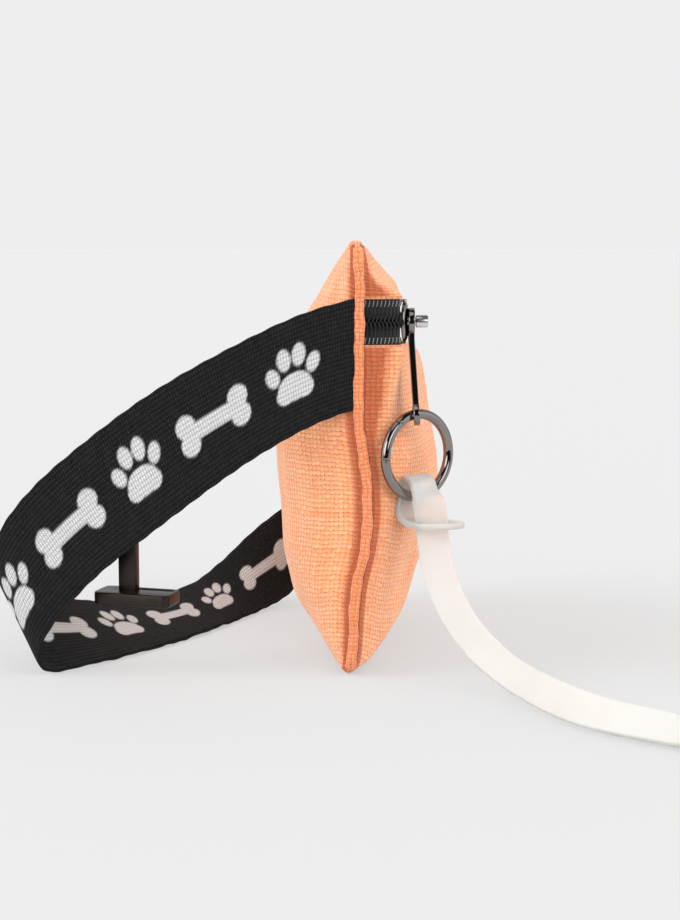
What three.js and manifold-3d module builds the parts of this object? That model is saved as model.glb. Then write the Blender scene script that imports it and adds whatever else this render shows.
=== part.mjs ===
// Zipped treat pouch: a stuffed canvas pouch standing on its bottom seam, with a webbing hand strap
// sewn into both side seams, a zip across its front, a metal pull with a spring-gate O-ring, a limp
// silicone strap looped through the ring, and a metal T-bar toggle hanging behind the hand strap.
// Millimetres. +Z up, X = 0 the pouch's middle plane (front is +X), Y runs along the bottom seam.
import * as THREE from "three";
import { mergeVertices } from "three/addons/utils/BufferGeometryUtils.js";
import Module from "manifold-3d";

const wasm = await Module();
wasm.setup();

// ---- driving dimensions ------------------------------------------------------------------------
const POUCH_HEIGHT = 150;
const POUCH_HALF_WIDTH = 68;
const SEAM_PROUD = 3.6;
const SEAM_THICK = 3.8;
const FRONT_DEPTH = 25.5;
const REAR_DEPTH = 32.5;
const SEAM_X = 1.5;
const SEAM_BOW = 3.5;
const GAP = 0.3;

const ZIP_Z = 122.4;
const ZIP_OPENING = 16.8;
const TAPE_X = 16.5;
const TAPE_THICK = 0.6;
const COIL_THICK = 0.8;
const COIL_TALL = 2.3;
const COIL_SPLIT = 1.6;
const SLIDER_Y = -58;
const SLIDER_LENGTH = 8.6;
const SLIDER_TALL = 15.8;

const PULL_THICK = 2.2;
const PULL_TOP_RADIUS = 4.6;
const PULL_NECK_HALF = 2.4;
const PULL_EYE_HALF = 5.2;
const PULL_LEAN = 0.07;
const KNOB_RADIUS = 2.25;
const KNOB_END_X = 26.2;
const PIN_RADIUS = 1.4;

const RING_RADIUS = 14.35;
const WIRE_RADIUS = 1.75;
const RING_YAW = THREE.MathUtils.degToRad(38.5);
const RING_X = 22.8;
const RING_Z = 76.1;
const GATE_START = 125;
const GATE_END = 180.6;
const GATE_PIVOT = 167;
const GATE_PIVOT_RADIUS = 13.4;
const GATE_PIN_RADIUS = 0.5;
const GATE_FACE_NORMAL = THREE.MathUtils.degToRad(63);

const STRAP_THICK = 1.6;

const TOGGLE_X = -78.2;
const TOGGLE_Y = -54;
const TOGGLE_PIVOT_X = -76.9;
const TOGGLE_PIVOT_Z = 66;
const TOGGLE_YAW = THREE.MathUtils.degToRad(-17);
const TOGGLE_FOOT = { length: 28.4, depth: 13, thick: 4.4, z: 25.6, shift: 3.0 };
const TOGGLE_STEM = { width: 6.8, depth: 3.4 };

const BAND_WIDTH = 11.2;
const BAND_THICK = 2.3;

// ---- solids ------------------------------------------------------------------------------------
function toManifold(geometry) {
  const plain = geometry.index ? geometry.toNonIndexed() : geometry.clone();
  plain.deleteAttribute("normal");
  plain.deleteAttribute("uv");
  const merged = mergeVertices(plain, 1e-3);
  return new wasm.Manifold(new wasm.Mesh({
    numProp: 3,
    vertProperties: new Float32Array(merged.attributes.position.array),
    triVerts: new Uint32Array(merged.index.array),
  }));
}

function toGeometry(solid) {
  const mesh = solid.getMesh();
  const geometry = new THREE.BufferGeometry();
  geometry.setAttribute("position", new THREE.BufferAttribute(mesh.vertProperties.slice(), 3));
  geometry.setIndex(new THREE.BufferAttribute(mesh.triVerts.slice(), 1));
  return geometry;
}

function union(...geometries) {
  return toGeometry(geometries.map(toManifold).reduce((a, b) => a.add(b)));
}

function cut(geometry, ...tools) {
  return toGeometry(tools.map(toManifold).reduce((a, b) => a.subtract(b), toManifold(geometry)));
}

// Closed solid through a row of rings of points; looped rings join the last ring to the first.
function loft(rings, looped = false) {
  const count = rings[0].length;
  const points = rings.flat();
  const triangles = [];
  const spans = looped ? rings.length : rings.length - 1;
  for (let i = 0; i < spans; i += 1) {
    const a = i * count;
    const b = ((i + 1) % rings.length) * count;
    for (let j = 0; j < count; j += 1) {
      const k = (j + 1) % count;
      triangles.push(a + j, a + k, b + j, b + j, a + k, b + k);
    }
  }
  if (!looped) {
    const last = (rings.length - 1) * count;
    for (let j = 1; j < count - 1; j += 1) {
      triangles.push(0, j + 1, j);
      triangles.push(last, last + j, last + j + 1);
    }
  }
  const geometry = new THREE.BufferGeometry();
  geometry.setAttribute("position", new THREE.Float32BufferAttribute(points.flatMap((p) => p.toArray()), 3));
  geometry.setIndex(triangles);
  return facingOut(geometry);
}

// Turns every triangle round when the solid's volume comes out negative.
function facingOut(geometry) {
  const p = geometry.attributes.position;
  const index = geometry.index.array;
  const [a, b, c] = [new THREE.Vector3(), new THREE.Vector3(), new THREE.Vector3()];
  let volume = 0;
  for (let i = 0; i < index.length; i += 3) {
    a.fromBufferAttribute(p, index[i]);
    b.fromBufferAttribute(p, index[i + 1]);
    c.fromBufferAttribute(p, index[i + 2]);
    volume += a.dot(b.cross(c));
  }
  if (volume < 0) {
    for (let i = 0; i < index.length; i += 3) {
      [index[i], index[i + 1]] = [index[i + 1], index[i]];
    }
  }
  return geometry;
}

// Box between two corners.
function box(lo, hi) {
  const geometry = new THREE.BoxGeometry(hi[0] - lo[0], hi[1] - lo[1], hi[2] - lo[2]);
  return geometry.translate((lo[0] + hi[0]) / 2, (lo[1] + hi[1]) / 2, (lo[2] + hi[2]) / 2);
}

// Cylinder along X from x0 to x1.
function barX(x0, x1, radius, y, z, sides = 24) {
  const geometry = new THREE.CylinderGeometry(radius, radius, x1 - x0, sides);
  return geometry.rotateZ(-Math.PI / 2).translate((x0 + x1) / 2, y, z);
}

// A shape drawn in (Y, Z), extruded along X from x0 to x1.
function plateX(shape, x0, x1, curveSegments = 10) {
  const geometry = new THREE.ExtrudeGeometry(shape, { depth: x1 - x0, bevelEnabled: false, curveSegments });
  const turn = new THREE.Matrix4().makeBasis(
    new THREE.Vector3(0, 1, 0),
    new THREE.Vector3(0, 0, 1),
    new THREE.Vector3(1, 0, 0),
  );
  return geometry.applyMatrix4(turn).translate(x0, 0, 0);
}

function roundedRect(x0, y0, x1, y1, r) {
  const shape = new THREE.Shape();
  shape.moveTo(x0 + r, y0);
  shape.lineTo(x1 - r, y0);
  shape.absarc(x1 - r, y0 + r, r, -Math.PI / 2, 0, false);
  shape.lineTo(x1, y1 - r);
  shape.absarc(x1 - r, y1 - r, r, 0, Math.PI / 2, false);
  shape.lineTo(x0 + r, y1);
  shape.absarc(x0 + r, y1 - r, r, Math.PI / 2, Math.PI, false);
  shape.lineTo(x0, y0 + r);
  shape.absarc(x0 + r, y0 + r, r, Math.PI, 1.5 * Math.PI, false);
  return shape;
}

// Flat band of the given thickness between two edge curves, sampled at equal parameters.
function band(edgeA, edgeB, steps, thick) {
  const curveA = new THREE.CatmullRomCurve3(edgeA.map((p) => new THREE.Vector3(...p)), false, "centripetal");
  const curveB = new THREE.CatmullRomCurve3(edgeB.map((p) => new THREE.Vector3(...p)), false, "centripetal");
  const rings = [];
  for (let i = 0; i <= steps; i += 1) {
    const t = i / steps;
    const a = curveA.getPoint(t);
    const b = curveB.getPoint(t);
    const along = curveA.getTangent(t).add(curveB.getTangent(t)).normalize();
    const across = b.clone().sub(a).normalize();
    const half = new THREE.Vector3().crossVectors(along, across).normalize().multiplyScalar(thick / 2);
    rings.push([a.clone().add(half), b.clone().add(half), b.clone().sub(half), a.clone().sub(half)]);
  }
  return loft(rings);
}

// ---- pouch form --------------------------------------------------------------------------------
const PANEL_HALF = POUCH_HALF_WIDTH - SEAM_PROUD - GAP;
const PANEL_LOW = SEAM_PROUD + GAP;
const PANEL_HIGH = POUCH_HEIGHT - SEAM_PROUD - GAP;
const MIDDLE_Z = POUCH_HEIGHT / 2;

// Middle plane of the side seams: it bows towards the front half way up.
function seamX(z) {
  return SEAM_X + SEAM_BOW * Math.sin((Math.PI * z) / POUCH_HEIGHT) ** 2;
}

function frontSwell(z) {
  return FRONT_DEPTH * Math.sin(Math.PI * (z / POUCH_HEIGHT) ** 0.9) ** 0.42;
}

function rearSwell(z) {
  return REAR_DEPTH * Math.sin(Math.PI * (z / POUCH_HEIGHT) ** 0.85) ** 0.75;
}

function acrossSwell(y) {
  return (1 - (y / POUCH_HALF_WIDTH) ** 2) ** 0.72;
}

// Open bowl: an outer pillow face and a smaller copy of it inside, joined round the rim.
function bowl({ side, swell, low, high, rows, columns, outer, inner }) {
  const face = (scale) => {
    const grid = [];
    for (let j = 0; j <= rows; j += 1) {
      const v = j / rows;
      const z = low + (high - low) * (0.5 - 0.5 * Math.cos(Math.PI * v) * (0.75 + 0.25 * Math.abs(2 * v - 1)));
      for (let i = 0; i <= columns; i += 1) {
        const y = PANEL_HALF * Math.sin((Math.PI / 2) * ((2 * i) / columns - 1));
        const reach = scale.rim + swell(z) * acrossSwell(y) * scale.swell;
        grid.push(new THREE.Vector3(
          seamX(z) + side * reach,
          y * scale.across,
          THREE.MathUtils.clamp(MIDDLE_Z + (z - MIDDLE_Z) * scale.up, low, high),
        ));
      }
    }
    return grid;
  };
  const points = [...face(outer), ...face(inner)];
  const row = columns + 1;
  const size = row * (rows + 1);
  const triangles = [];
  const quad = (a, b, c, d) => triangles.push(a, b, c, a, c, d);
  for (let j = 0; j < rows; j += 1) {
    for (let i = 0; i < columns; i += 1) {
      const a = j * row + i;
      quad(a, a + 1, a + row + 1, a + row);
      quad(size + a, size + a + row, size + a + row + 1, size + a + 1);
    }
  }
  const rim = [];
  for (let i = 0; i < columns; i += 1) rim.push(i);
  for (let j = 0; j < rows; j += 1) rim.push(j * row + columns);
  for (let i = columns; i > 0; i -= 1) rim.push(rows * row + i);
  for (let j = rows; j > 0; j -= 1) rim.push(j * row);
  rim.forEach((a, k) => {
    const b = rim[(k + 1) % rim.length];
    quad(a, size + a, size + b, b);
  });
  const geometry = new THREE.BufferGeometry();
  geometry.setAttribute("position", new THREE.Float32BufferAttribute(points.flatMap((p) => p.toArray()), 3));
  geometry.setIndex(triangles);
  return facingOut(geometry);
}

const CANVAS_OUTER = { rim: 0.9, swell: 1, across: 1, up: 1 };
const CANVAS_INNER = { rim: 0.45, swell: 0.94, across: 0.975, up: 0.975 };
const LINING_OUTER = { rim: 0.4, swell: 0.9, across: 0.955, up: 0.955 };
const LINING_INNER = { rim: 0.15, swell: 0.88, across: 0.94, up: 0.94 };

function rearPanel() {
  return bowl({
    side: -1, swell: rearSwell, low: PANEL_LOW, high: PANEL_HIGH, rows: 18, columns: 18,
    outer: CANVAS_OUTER, inner: CANVAS_INNER,
  });
}

function frontPanel(low, high, rows) {
  return bowl({
    side: 1, swell: frontSwell, low, high, rows, columns: 18, outer: CANVAS_OUTER, inner: CANVAS_INNER,
  });
}

function lining(side, swell, low, high) {
  return bowl({
    side, swell, low, high, rows: 10, columns: 12, outer: LINING_OUTER, inner: LINING_INNER,
  });
}

// Bound seam all round the pouch's edge, flat underneath, bowing with the side seams.
function seamBinding() {
  const corner = 5;
  const outside = roundedRect(-POUCH_HALF_WIDTH, 0, POUCH_HALF_WIDTH, POUCH_HEIGHT, corner);
  const outline = outside.getSpacedPoints(96).slice(0, -1);
  const rings = outline.map((p) => {
    const inside = new THREE.Vector2(
      THREE.MathUtils.clamp(p.x, -POUCH_HALF_WIDTH + SEAM_PROUD, POUCH_HALF_WIDTH - SEAM_PROUD),
      THREE.MathUtils.clamp(p.y, SEAM_PROUD, POUCH_HEIGHT - SEAM_PROUD),
    );
    const middle = seamX(p.y);
    return [
      new THREE.Vector3(middle - SEAM_THICK / 2, p.x, p.y),
      new THREE.Vector3(middle + SEAM_THICK / 2, p.x, p.y),
      new THREE.Vector3(middle + SEAM_THICK / 2, inside.x, inside.y),
      new THREE.Vector3(middle - SEAM_THICK / 2, inside.x, inside.y),
    ];
  });
  return loft(rings, true);
}

// ---- zip ---------------------------------------------------------------------------------------
const ZIP_LOW = ZIP_Z - ZIP_OPENING / 2;
const ZIP_HIGH = ZIP_Z + ZIP_OPENING / 2;
const COIL_X = TAPE_X + TAPE_THICK / 2 + GAP;

// Plan line of the tapes: straight along the front, turned in to the side seams at both ends.
function tapeLine() {
  const half = [
    [7.2, PANEL_HALF],
    [11, PANEL_HALF - 0.1],
    [14.4, PANEL_HALF - 0.4],
    [TAPE_X - 0.4, PANEL_HALF - 1],
    [TAPE_X, PANEL_HALF - 2],
  ];
  return [...half.map(([x, y]) => [x, -y]), ...half.reverse()].map(([x, y]) => new THREE.Vector2(x, y));
}

function zipTape(low, high) {
  const line = tapeLine();
  const rings = line.map((p, i) => {
    const before = line[Math.max(0, i - 1)];
    const after = line[Math.min(line.length - 1, i + 1)];
    const along = after.clone().sub(before).normalize();
    const half = new THREE.Vector2(along.y, -along.x).multiplyScalar(TAPE_THICK / 2);
    const [inner, outer] = [p.clone().sub(half), p.clone().add(half)];
    return [
      new THREE.Vector3(inner.x, inner.y, low),
      new THREE.Vector3(outer.x, outer.y, low),
      new THREE.Vector3(outer.x, outer.y, high),
      new THREE.Vector3(inner.x, inner.y, high),
    ];
  });
  return loft(rings);
}

const COIL_NEAR = -PANEL_HALF + 2.2;
const COIL_FAR = PANEL_HALF - 7;

function zipCoil(low) {
  return box([COIL_X, COIL_NEAR, low], [COIL_X + COIL_THICK, COIL_FAR, low + COIL_TALL]);
}

function zipStop(y) {
  const z = ZIP_Z;
  const half = COIL_SPLIT / 2 + COIL_TALL;
  return box([COIL_X, y - 1.2, z - half], [COIL_X + COIL_THICK + 0.5, y + 1.2, z + half]);
}

const SLIDER_BACK = TAPE_X - TAPE_THICK / 2 - GAP - 0.8;
const SLIDER_FRONT = COIL_X + COIL_THICK + GAP + 0.9;

function sliderBody() {
  const y0 = SLIDER_Y - SLIDER_LENGTH / 2;
  const y1 = SLIDER_Y + SLIDER_LENGTH / 2;
  const z0 = ZIP_Z - SLIDER_TALL / 2;
  const z1 = ZIP_Z + SLIDER_TALL / 2;
  const outline = roundedRect(y0, z0, y1, z1, 4.2);
  const back = plateX(outline, SLIDER_BACK, SLIDER_BACK + 0.8);
  const front = plateX(outline, SLIDER_FRONT - 0.9, SLIDER_FRONT);
  const web = box([SLIDER_BACK, y0 + 2, ZIP_Z - 0.5], [SLIDER_FRONT, y1 - 2, ZIP_Z + 0.5]);
  const lips = [z0 + 0.4, z1 - 1.4].map((z) => box(
    [TAPE_X + TAPE_THICK / 2 + GAP, y0 + 3, z],
    [SLIDER_FRONT, y1 - 3, z + 1],
  ));
  return union(back, front, web, ...lips);
}

// ---- pull --------------------------------------------------------------------------------------
const PULL_X0 = SLIDER_FRONT + GAP;
const PULL_X1 = PULL_X0 + PULL_THICK;
const EYE_Z = RING_Z + RING_RADIUS;

// Shouldered pin pressed into the slider: a thin post for the pull and a round knob outside it.
function pullPin() {
  const post = barX(SLIDER_FRONT + 0.02, PULL_X1 + GAP + 0.5, PIN_RADIUS, SLIDER_Y, ZIP_Z);
  const knob = barX(PULL_X1 + GAP, KNOB_END_X, KNOB_RADIUS, SLIDER_Y, ZIP_Z, 32);
  return union(post, knob);
}

function pullBar() {
  const tip = EYE_Z - WIRE_RADIUS - GAP - 2;
  const shape = new THREE.Shape();
  const shoulder = Math.asin(PULL_NECK_HALF / PULL_TOP_RADIUS);
  shape.moveTo(SLIDER_Y - PULL_NECK_HALF, ZIP_Z - 8);
  shape.lineTo(SLIDER_Y - PULL_NECK_HALF, EYE_Z + 8);
  shape.quadraticCurveTo(SLIDER_Y - PULL_EYE_HALF, EYE_Z + 4, SLIDER_Y - PULL_EYE_HALF, EYE_Z);
  shape.quadraticCurveTo(SLIDER_Y - PULL_EYE_HALF, tip, SLIDER_Y, tip);
  shape.quadraticCurveTo(SLIDER_Y + PULL_EYE_HALF, tip, SLIDER_Y + PULL_EYE_HALF, EYE_Z);
  shape.quadraticCurveTo(SLIDER_Y + PULL_EYE_HALF, EYE_Z + 4, SLIDER_Y + PULL_NECK_HALF, EYE_Z + 8);
  shape.lineTo(SLIDER_Y + PULL_NECK_HALF, ZIP_Z - 8);
  shape.absarc(SLIDER_Y, ZIP_Z, PULL_TOP_RADIUS, shoulder - Math.PI / 2, 1.5 * Math.PI - shoulder, false);
  const pinHole = new THREE.Path();
  pinHole.absarc(SLIDER_Y, ZIP_Z, PIN_RADIUS + GAP, 0, 2 * Math.PI, true);
  const eye = new THREE.Path();
  eye.absellipse(SLIDER_Y, EYE_Z + 0.35, 4.3, WIRE_RADIUS + 0.8, 0, 2 * Math.PI, true, 0);
  shape.holes.push(pinHole, eye);
  const plate = plateX(shape, PULL_X0, PULL_X1, 14);
  const p = plate.attributes.position;
  for (let i = 0; i < p.count; i += 1) {
    const below = Math.max(0, ZIP_Z - 6 - p.getZ(i));
    p.setX(i, p.getX(i) + below * PULL_LEAN);
  }
  return plate;
}

// ---- spring-gate ring, drawn in its own plane: local X across, Y up, Z the ring's axis ----------
function ringPoint(degrees, radius = RING_RADIUS) {
  const a = THREE.MathUtils.degToRad(degrees);
  return new THREE.Vector3(radius * Math.cos(a), radius * Math.sin(a), 0);
}

function wireArc(from, to, steps, radius = WIRE_RADIUS) {
  const sides = 14;
  const rings = [];
  for (let i = 0; i <= steps; i += 1) {
    const degrees = from + ((to - from) * i) / steps;
    const centre = ringPoint(degrees);
    const outward = centre.clone().normalize();
    const ring = [];
    for (let k = 0; k < sides; k += 1) {
      const t = (2 * Math.PI * (k + 0.5)) / sides;
      const point = centre.clone().addScaledVector(outward, radius * Math.cos(t));
      point.z = radius * Math.sin(t);
      ring.push(point);
    }
    rings.push(ring);
  }
  return loft(rings);
}

const GATE_PIN = ringPoint(GATE_PIVOT, GATE_PIVOT_RADIUS);

function pinAlongAxis(radius, half, sides = 16) {
  const geometry = new THREE.CylinderGeometry(radius, radius, 2 * half, sides);
  return geometry.rotateX(Math.PI / 2).translate(GATE_PIN.x, GATE_PIN.y, 0);
}

const TONGUE_HALF = 0.6;

// Block on one side of the slanted joint at the gate's free end; side 1 is away from the hinge. The
// slant lets the whole face of the gate clear the ring's end as the gate swings in.
function jointBlock(side, gap) {
  const middle = ringPoint(GATE_START);
  const block = new THREE.BoxGeometry(8, 8, 6);
  return block.translate(side * (4 + gap / 2), 0, 0).rotateZ(GATE_FACE_NORMAL).translate(middle.x, middle.y, 0);
}

function ringBody() {
  const bodyStart = 2 * GATE_END - 179.2;
  const arc = wireArc(bodyStart, 360 + GATE_START + 12, 48);
  const body = cut(arc, jointBlock(-1, -GAP));
  const slab = new THREE.BoxGeometry(40, 40, 2 * TONGUE_HALF);
  const tongueArc = wireArc(GATE_PIVOT, bodyStart + 3, 5, 1.4);
  const tongue = toGeometry(toManifold(tongueArc).intersect(toManifold(slab)));
  const knuckle = pinAlongAxis(1.35, TONGUE_HALF, 20);
  return cut(union(body, tongue, knuckle), pinAlongAxis(GATE_PIN_RADIUS + GAP, 4));
}

function ringGate() {
  const gate = cut(wireArc(GATE_START - 12, GATE_END, 14), jointBlock(1, -GAP));
  const middle = ringPoint((GATE_PIVOT - 11 + 184) / 2);
  const slot = new THREE.BoxGeometry(8, 7.2, 2 * (TONGUE_HALF + GAP));
  slot.rotateZ(THREE.MathUtils.degToRad((GATE_PIVOT - 11 + 184) / 2)).translate(middle.x, middle.y, 0);
  return cut(gate, slot, pinAlongAxis(GATE_PIN_RADIUS + GAP, 4));
}

function ringGatePin() {
  return pinAlongAxis(GATE_PIN_RADIUS, 1.42);
}

// ---- silicone strap ----------------------------------------------------------------------------
// Half outline of the band's section, as fractions of its half width and half thickness.
const BAND_SECTION = [[-1, -0.5], [-0.86, -1], [0.86, -1], [1, -0.5], [1, 0.5], [0.86, 1], [-0.86, 1], [-1, 0.5]];

function smoothCurve(points) {
  return new THREE.CatmullRomCurve3(points.map((p) => new THREE.Vector3(...p)), false, "catmullrom", 0.5);
}

// Flat section swept along a route; the second list gives the direction of its width at each point.
function flatSweep(route, widths, steps) {
  const curve = smoothCurve(route);
  const widthCurve = smoothCurve(widths);
  const rings = [];
  for (let i = 0; i <= steps; i += 1) {
    const t = i / steps;
    const centre = curve.getPoint(t);
    const along = curve.getTangent(t);
    const wide = widthCurve.getPoint(t);
    const across = wide.addScaledVector(along, -wide.dot(along)).normalize();
    const out = new THREE.Vector3().crossVectors(along, across);
    rings.push(BAND_SECTION.map(([u, v]) => centre.clone()
      .addScaledVector(across, (u * BAND_WIDTH) / 2)
      .addScaledVector(out, (v * BAND_THICK) / 2)));
  }
  return loft(rings);
}

// Loop over the ring's lower wire: down in front of it, up over it, and round to the slotted end.
function siliconeLoop() {
  const route = [
    [26.2, -62.6, 59.6],
    [25.4, -61.7, 63.6],
    [23.9, -59.4, 67.4],
    [22.0, -56.8, 68.0],
    [20.9, -55.2, 64.6],
    [20.3, -56.6, 59.4],
    [20.0, -59.2, 55.4],
  ];
  return flatSweep(route, route.map(() => [Math.cos(RING_YAW), Math.sin(RING_YAW), 0]), 18);
}

// Slotted end of the strap: a flat tab with a slot that the long run passes through.
function siliconeKeeper() {
  const outline = new THREE.Shape();
  outline.absellipse(0, 0, 9.6, 6, 0, 2 * Math.PI, false, 0);
  const slot = new THREE.Path();
  slot.absellipse(-1.8, 0, BAND_WIDTH / 2 + 1.3, BAND_THICK / 2 + 1.6, 0, 2 * Math.PI, true, 0);
  outline.holes.push(slot);
  const tab = new THREE.ExtrudeGeometry(outline, { depth: 2, bevelEnabled: false, curveSegments: 14 });
  return tab.translate(29.4, -63.2, 51.6);
}

// Long run: from the loop down to the floor, then along it, tilted, to its round end.
const BAND_ROUTE = [
  [26.8, -62.9, 59.2],
  [27.7, -63.5, 51.6],
  [29.6, -67.0, 38.4],
  [34.2, -72.2, 26.2],
  [41.4, -79.2, 16.0],
  [50.6, -89.6, 8.6],
  [61.5, -108.7, 5.6],
  [75.9, -134.0, 5.4],
  [97.2, -151.4, 4.8],
  [110.0, -157.6, 3.2],
  [121.0, -161.6, 1.8],
  [132.0, -164.6, 1.5],
];
const BAND_ACROSS = [
  [1, 0.05, 0.05],
  [1, 0.02, 0.1],
  [0.97, 0, 0.24],
  [0.94, 0, 0.35],
  [0.76, 0.1, 0.64],
  [0.56, 0.5, 0.66],
  [0.36, 0.6, 0.72],
  [0.2, 0.7, 0.68],
  [0.1, 0.82, 0.56],
  [0.05, 0.9, 0.3],
  [0, 1, 0.05],
  [0, 1, 0],
];

function siliconeStrap() {
  return flatSweep(BAND_ROUTE, BAND_ACROSS, 44);
}

// ---- hand strap --------------------------------------------------------------------------------
const STRAP_Y = POUCH_HALF_WIDTH - SEAM_PROUD + 1.6;
const SIDE = -STRAP_Y;
const STRAP_END_X = -0.6;

// Edges of the webbing loop, from the near side seam round over the floor to the far side seam.
const STRAP_LOWER = [
  [STRAP_END_X, SIDE, 92.7],
  [-11.3, SIDE - 0.6, 88.3],
  [-31.4, SIDE - 1.0, 77.3],
  [-51.7, SIDE - 1.0, 63.2],
  [-74.1, SIDE - 1.0, 46.2],
  [-86.5, SIDE - 1.0, 36.3],
  [-99.0, SIDE - 1.2, 23.4],
  [-107.6, SIDE - 1.2, 9.6],
  [-106.6, -64.8, 1.6],
  [-98.0, -58.8, 0.9],
  [-82.0, -41.0, 0.9],
  [-60.0, -9.0, 0.9],
  [-43.0, 24.0, 0.9],
  [-32.0, 46.0, 1.3],
  [-22.5, 60.5, 6.2],
  [-13.0, 68.0, 25.0],
  [-6.2, 69.4, 50.0],
  [-1.2, 68.0, 75.0],
  [STRAP_END_X, STRAP_Y, 92.7],
];
const STRAP_UPPER = [
  [STRAP_END_X, SIDE, 130.4],
  [-17.0, SIDE - 0.6, 125.2],
  [-44.4, SIDE - 1.0, 112.2],
  [-70.6, SIDE - 1.0, 96.9],
  [-95.8, SIDE - 1.0, 78.0],
  [-108.8, SIDE - 0.8, 66.4],
  [-120.4, SIDE + 0.6, 51.6],
  [-125.0, -59.4, 37.8],
  [-121.0, -48.6, 29.8],
  [-113.2, -37.2, 22.6],
  [-100.6, -18.8, 16.4],
  [-72.0, 23.6, 10.6],
  [-52.6, 54.0, 18.4],
  [-36.0, 65.6, 32.6],
  [-24.6, 71.0, 41.8],
  [-17.0, 72.4, 62.4],
  [-11.0, 71.6, 87.4],
  [-4.0, 69.4, 112.4],
  [STRAP_END_X, STRAP_Y, 130.4],
];

function handStrap() {
  return band(STRAP_LOWER, STRAP_UPPER, 90, STRAP_THICK);
}

// ---- T-bar toggle, hung behind the near run of the hand strap ----------------------------------
const BRACKET_Y = SIDE - 1 + STRAP_THICK / 2 + 0.25;

function toggleBracket() {
  const plate = box(
    [TOGGLE_PIVOT_X - 6, BRACKET_Y, TOGGLE_PIVOT_Z - 5],
    [TOGGLE_PIVOT_X + 6, BRACKET_Y + 1.4, TOGGLE_PIVOT_Z + 9],
  );
  const post = barY(BRACKET_Y + 1, TOGGLE_Y + 3.4, 1.6, TOGGLE_PIVOT_X, TOGGLE_PIVOT_Z);
  return union(plate, post);
}

function barY(y0, y1, radius, x, z, sides = 20) {
  const geometry = new THREE.CylinderGeometry(radius, radius, y1 - y0, sides);
  return geometry.translate(x, (y0 + y1) / 2, z);
}

function toggleWasher() {
  const ring = new THREE.Shape();
  ring.absarc(0, 0, 3, 0, 2 * Math.PI, false);
  const hole = new THREE.Path();
  hole.absarc(0, 0, 1.6 + GAP, 0, 2 * Math.PI, true);
  ring.holes.push(hole);
  const washer = new THREE.ExtrudeGeometry(ring, { depth: 0.8, bevelEnabled: false, curveSegments: 12 });
  return washer.rotateX(Math.PI / 2).translate(TOGGLE_PIVOT_X, TOGGLE_Y + 3.2, TOGGLE_PIVOT_Z);
}

function toggleBar() {
  const { length, depth, thick, z, shift } = TOGGLE_FOOT;
  const outline = roundedRect(-length / 2 + shift, -depth / 2, length / 2 + shift, depth / 2, 2.6);
  const slot = roundedRect(shift - 1, -depth / 2 + 2.4 + 4.4, length / 2 + shift - 2.2, depth / 2 - 1.9, 1.2);
  outline.holes.push(slot);
  const foot = new THREE.ExtrudeGeometry(outline, { depth: thick, bevelEnabled: false, curveSegments: 6 });
  foot.rotateZ(TOGGLE_YAW).translate(TOGGLE_X, TOGGLE_Y - 0.2, z - thick / 2);
  const { width, depth: stemDepth } = TOGGLE_STEM;
  const stem = new THREE.BoxGeometry(width, stemDepth, TOGGLE_PIVOT_Z - z + 1);
  stem.rotateZ(TOGGLE_YAW).translate(TOGGLE_X, TOGGLE_Y, (TOGGLE_PIVOT_Z + z + 1) / 2);
  const head = barY(TOGGLE_Y - 1.9, TOGGLE_Y + 1.9, 4.4, TOGGLE_PIVOT_X, TOGGLE_PIVOT_Z, 28);
  const hole = barY(TOGGLE_Y - 6, TOGGLE_Y + 6, 1.6 + GAP, TOGGLE_PIVOT_X, TOGGLE_PIVOT_Z, 20);
  return cut(union(foot, stem, head), hole);
}

// ---- materials ---------------------------------------------------------------------------------
function finish(color, roughness, metalness) {
  return new THREE.MeshStandardMaterial({ color, roughness, metalness });
}

const canvas = finish(0xf2a06e, 0.92, 0);
const binding = finish(0xe88a5a, 0.92, 0);
const liner = finish(0xd9c7b2, 0.9, 0);
const webbing = finish(0x1f1f21, 0.85, 0);
const tapeCloth = finish(0x121213, 0.88, 0);
const nylon = finish(0x18181a, 0.45, 0);
const gunmetal = finish(0x55555a, 0.18, 1);
const steel = finish(0xa8a8ac, 0.25, 1);
const silicone = finish(0xf3ece6, 0.45, 0);

// ---- assembly ----------------------------------------------------------------------------------
const pouch = new THREE.Group();

function add(name, geometry, material, parent = pouch) {
  const mesh = new THREE.Mesh(geometry, material);
  mesh.name = name;
  parent.add(mesh);
}

add("rear_panel", rearPanel(), canvas);
add("front_lower_panel", frontPanel(PANEL_LOW, ZIP_LOW, 14), canvas);
add("front_upper_panel", frontPanel(ZIP_HIGH, PANEL_HIGH, 5), canvas);
add("lining_rear", lining(-1, rearSwell, PANEL_LOW, PANEL_HIGH), liner);
add("lining_front", lining(1, frontSwell, PANEL_LOW, ZIP_LOW - 1), liner);
add("seam_binding", seamBinding(), binding);
add("zip_tape_lower", zipTape(ZIP_LOW + GAP, ZIP_Z - COIL_SPLIT / 2), tapeCloth);
add("zip_tape_upper", zipTape(ZIP_Z + COIL_SPLIT / 2, ZIP_HIGH - GAP), tapeCloth);
add("zip_coil_lower", zipCoil(ZIP_Z - COIL_SPLIT / 2 - COIL_TALL), nylon);
add("zip_coil_upper", zipCoil(ZIP_Z + COIL_SPLIT / 2), nylon);
add("zip_stop_far", zipStop(COIL_FAR + 1.5), gunmetal);
add("hand_strap", handStrap(), webbing);
add("toggle_bracket", toggleBracket(), gunmetal);
add("toggle_washer", toggleWasher(), gunmetal);
add("toggle_bar", toggleBar(), gunmetal);
add("slider_body", sliderBody(), gunmetal);
add("pull_pin", pullPin(), steel);
add("pull_bar", pullBar(), gunmetal);

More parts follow.
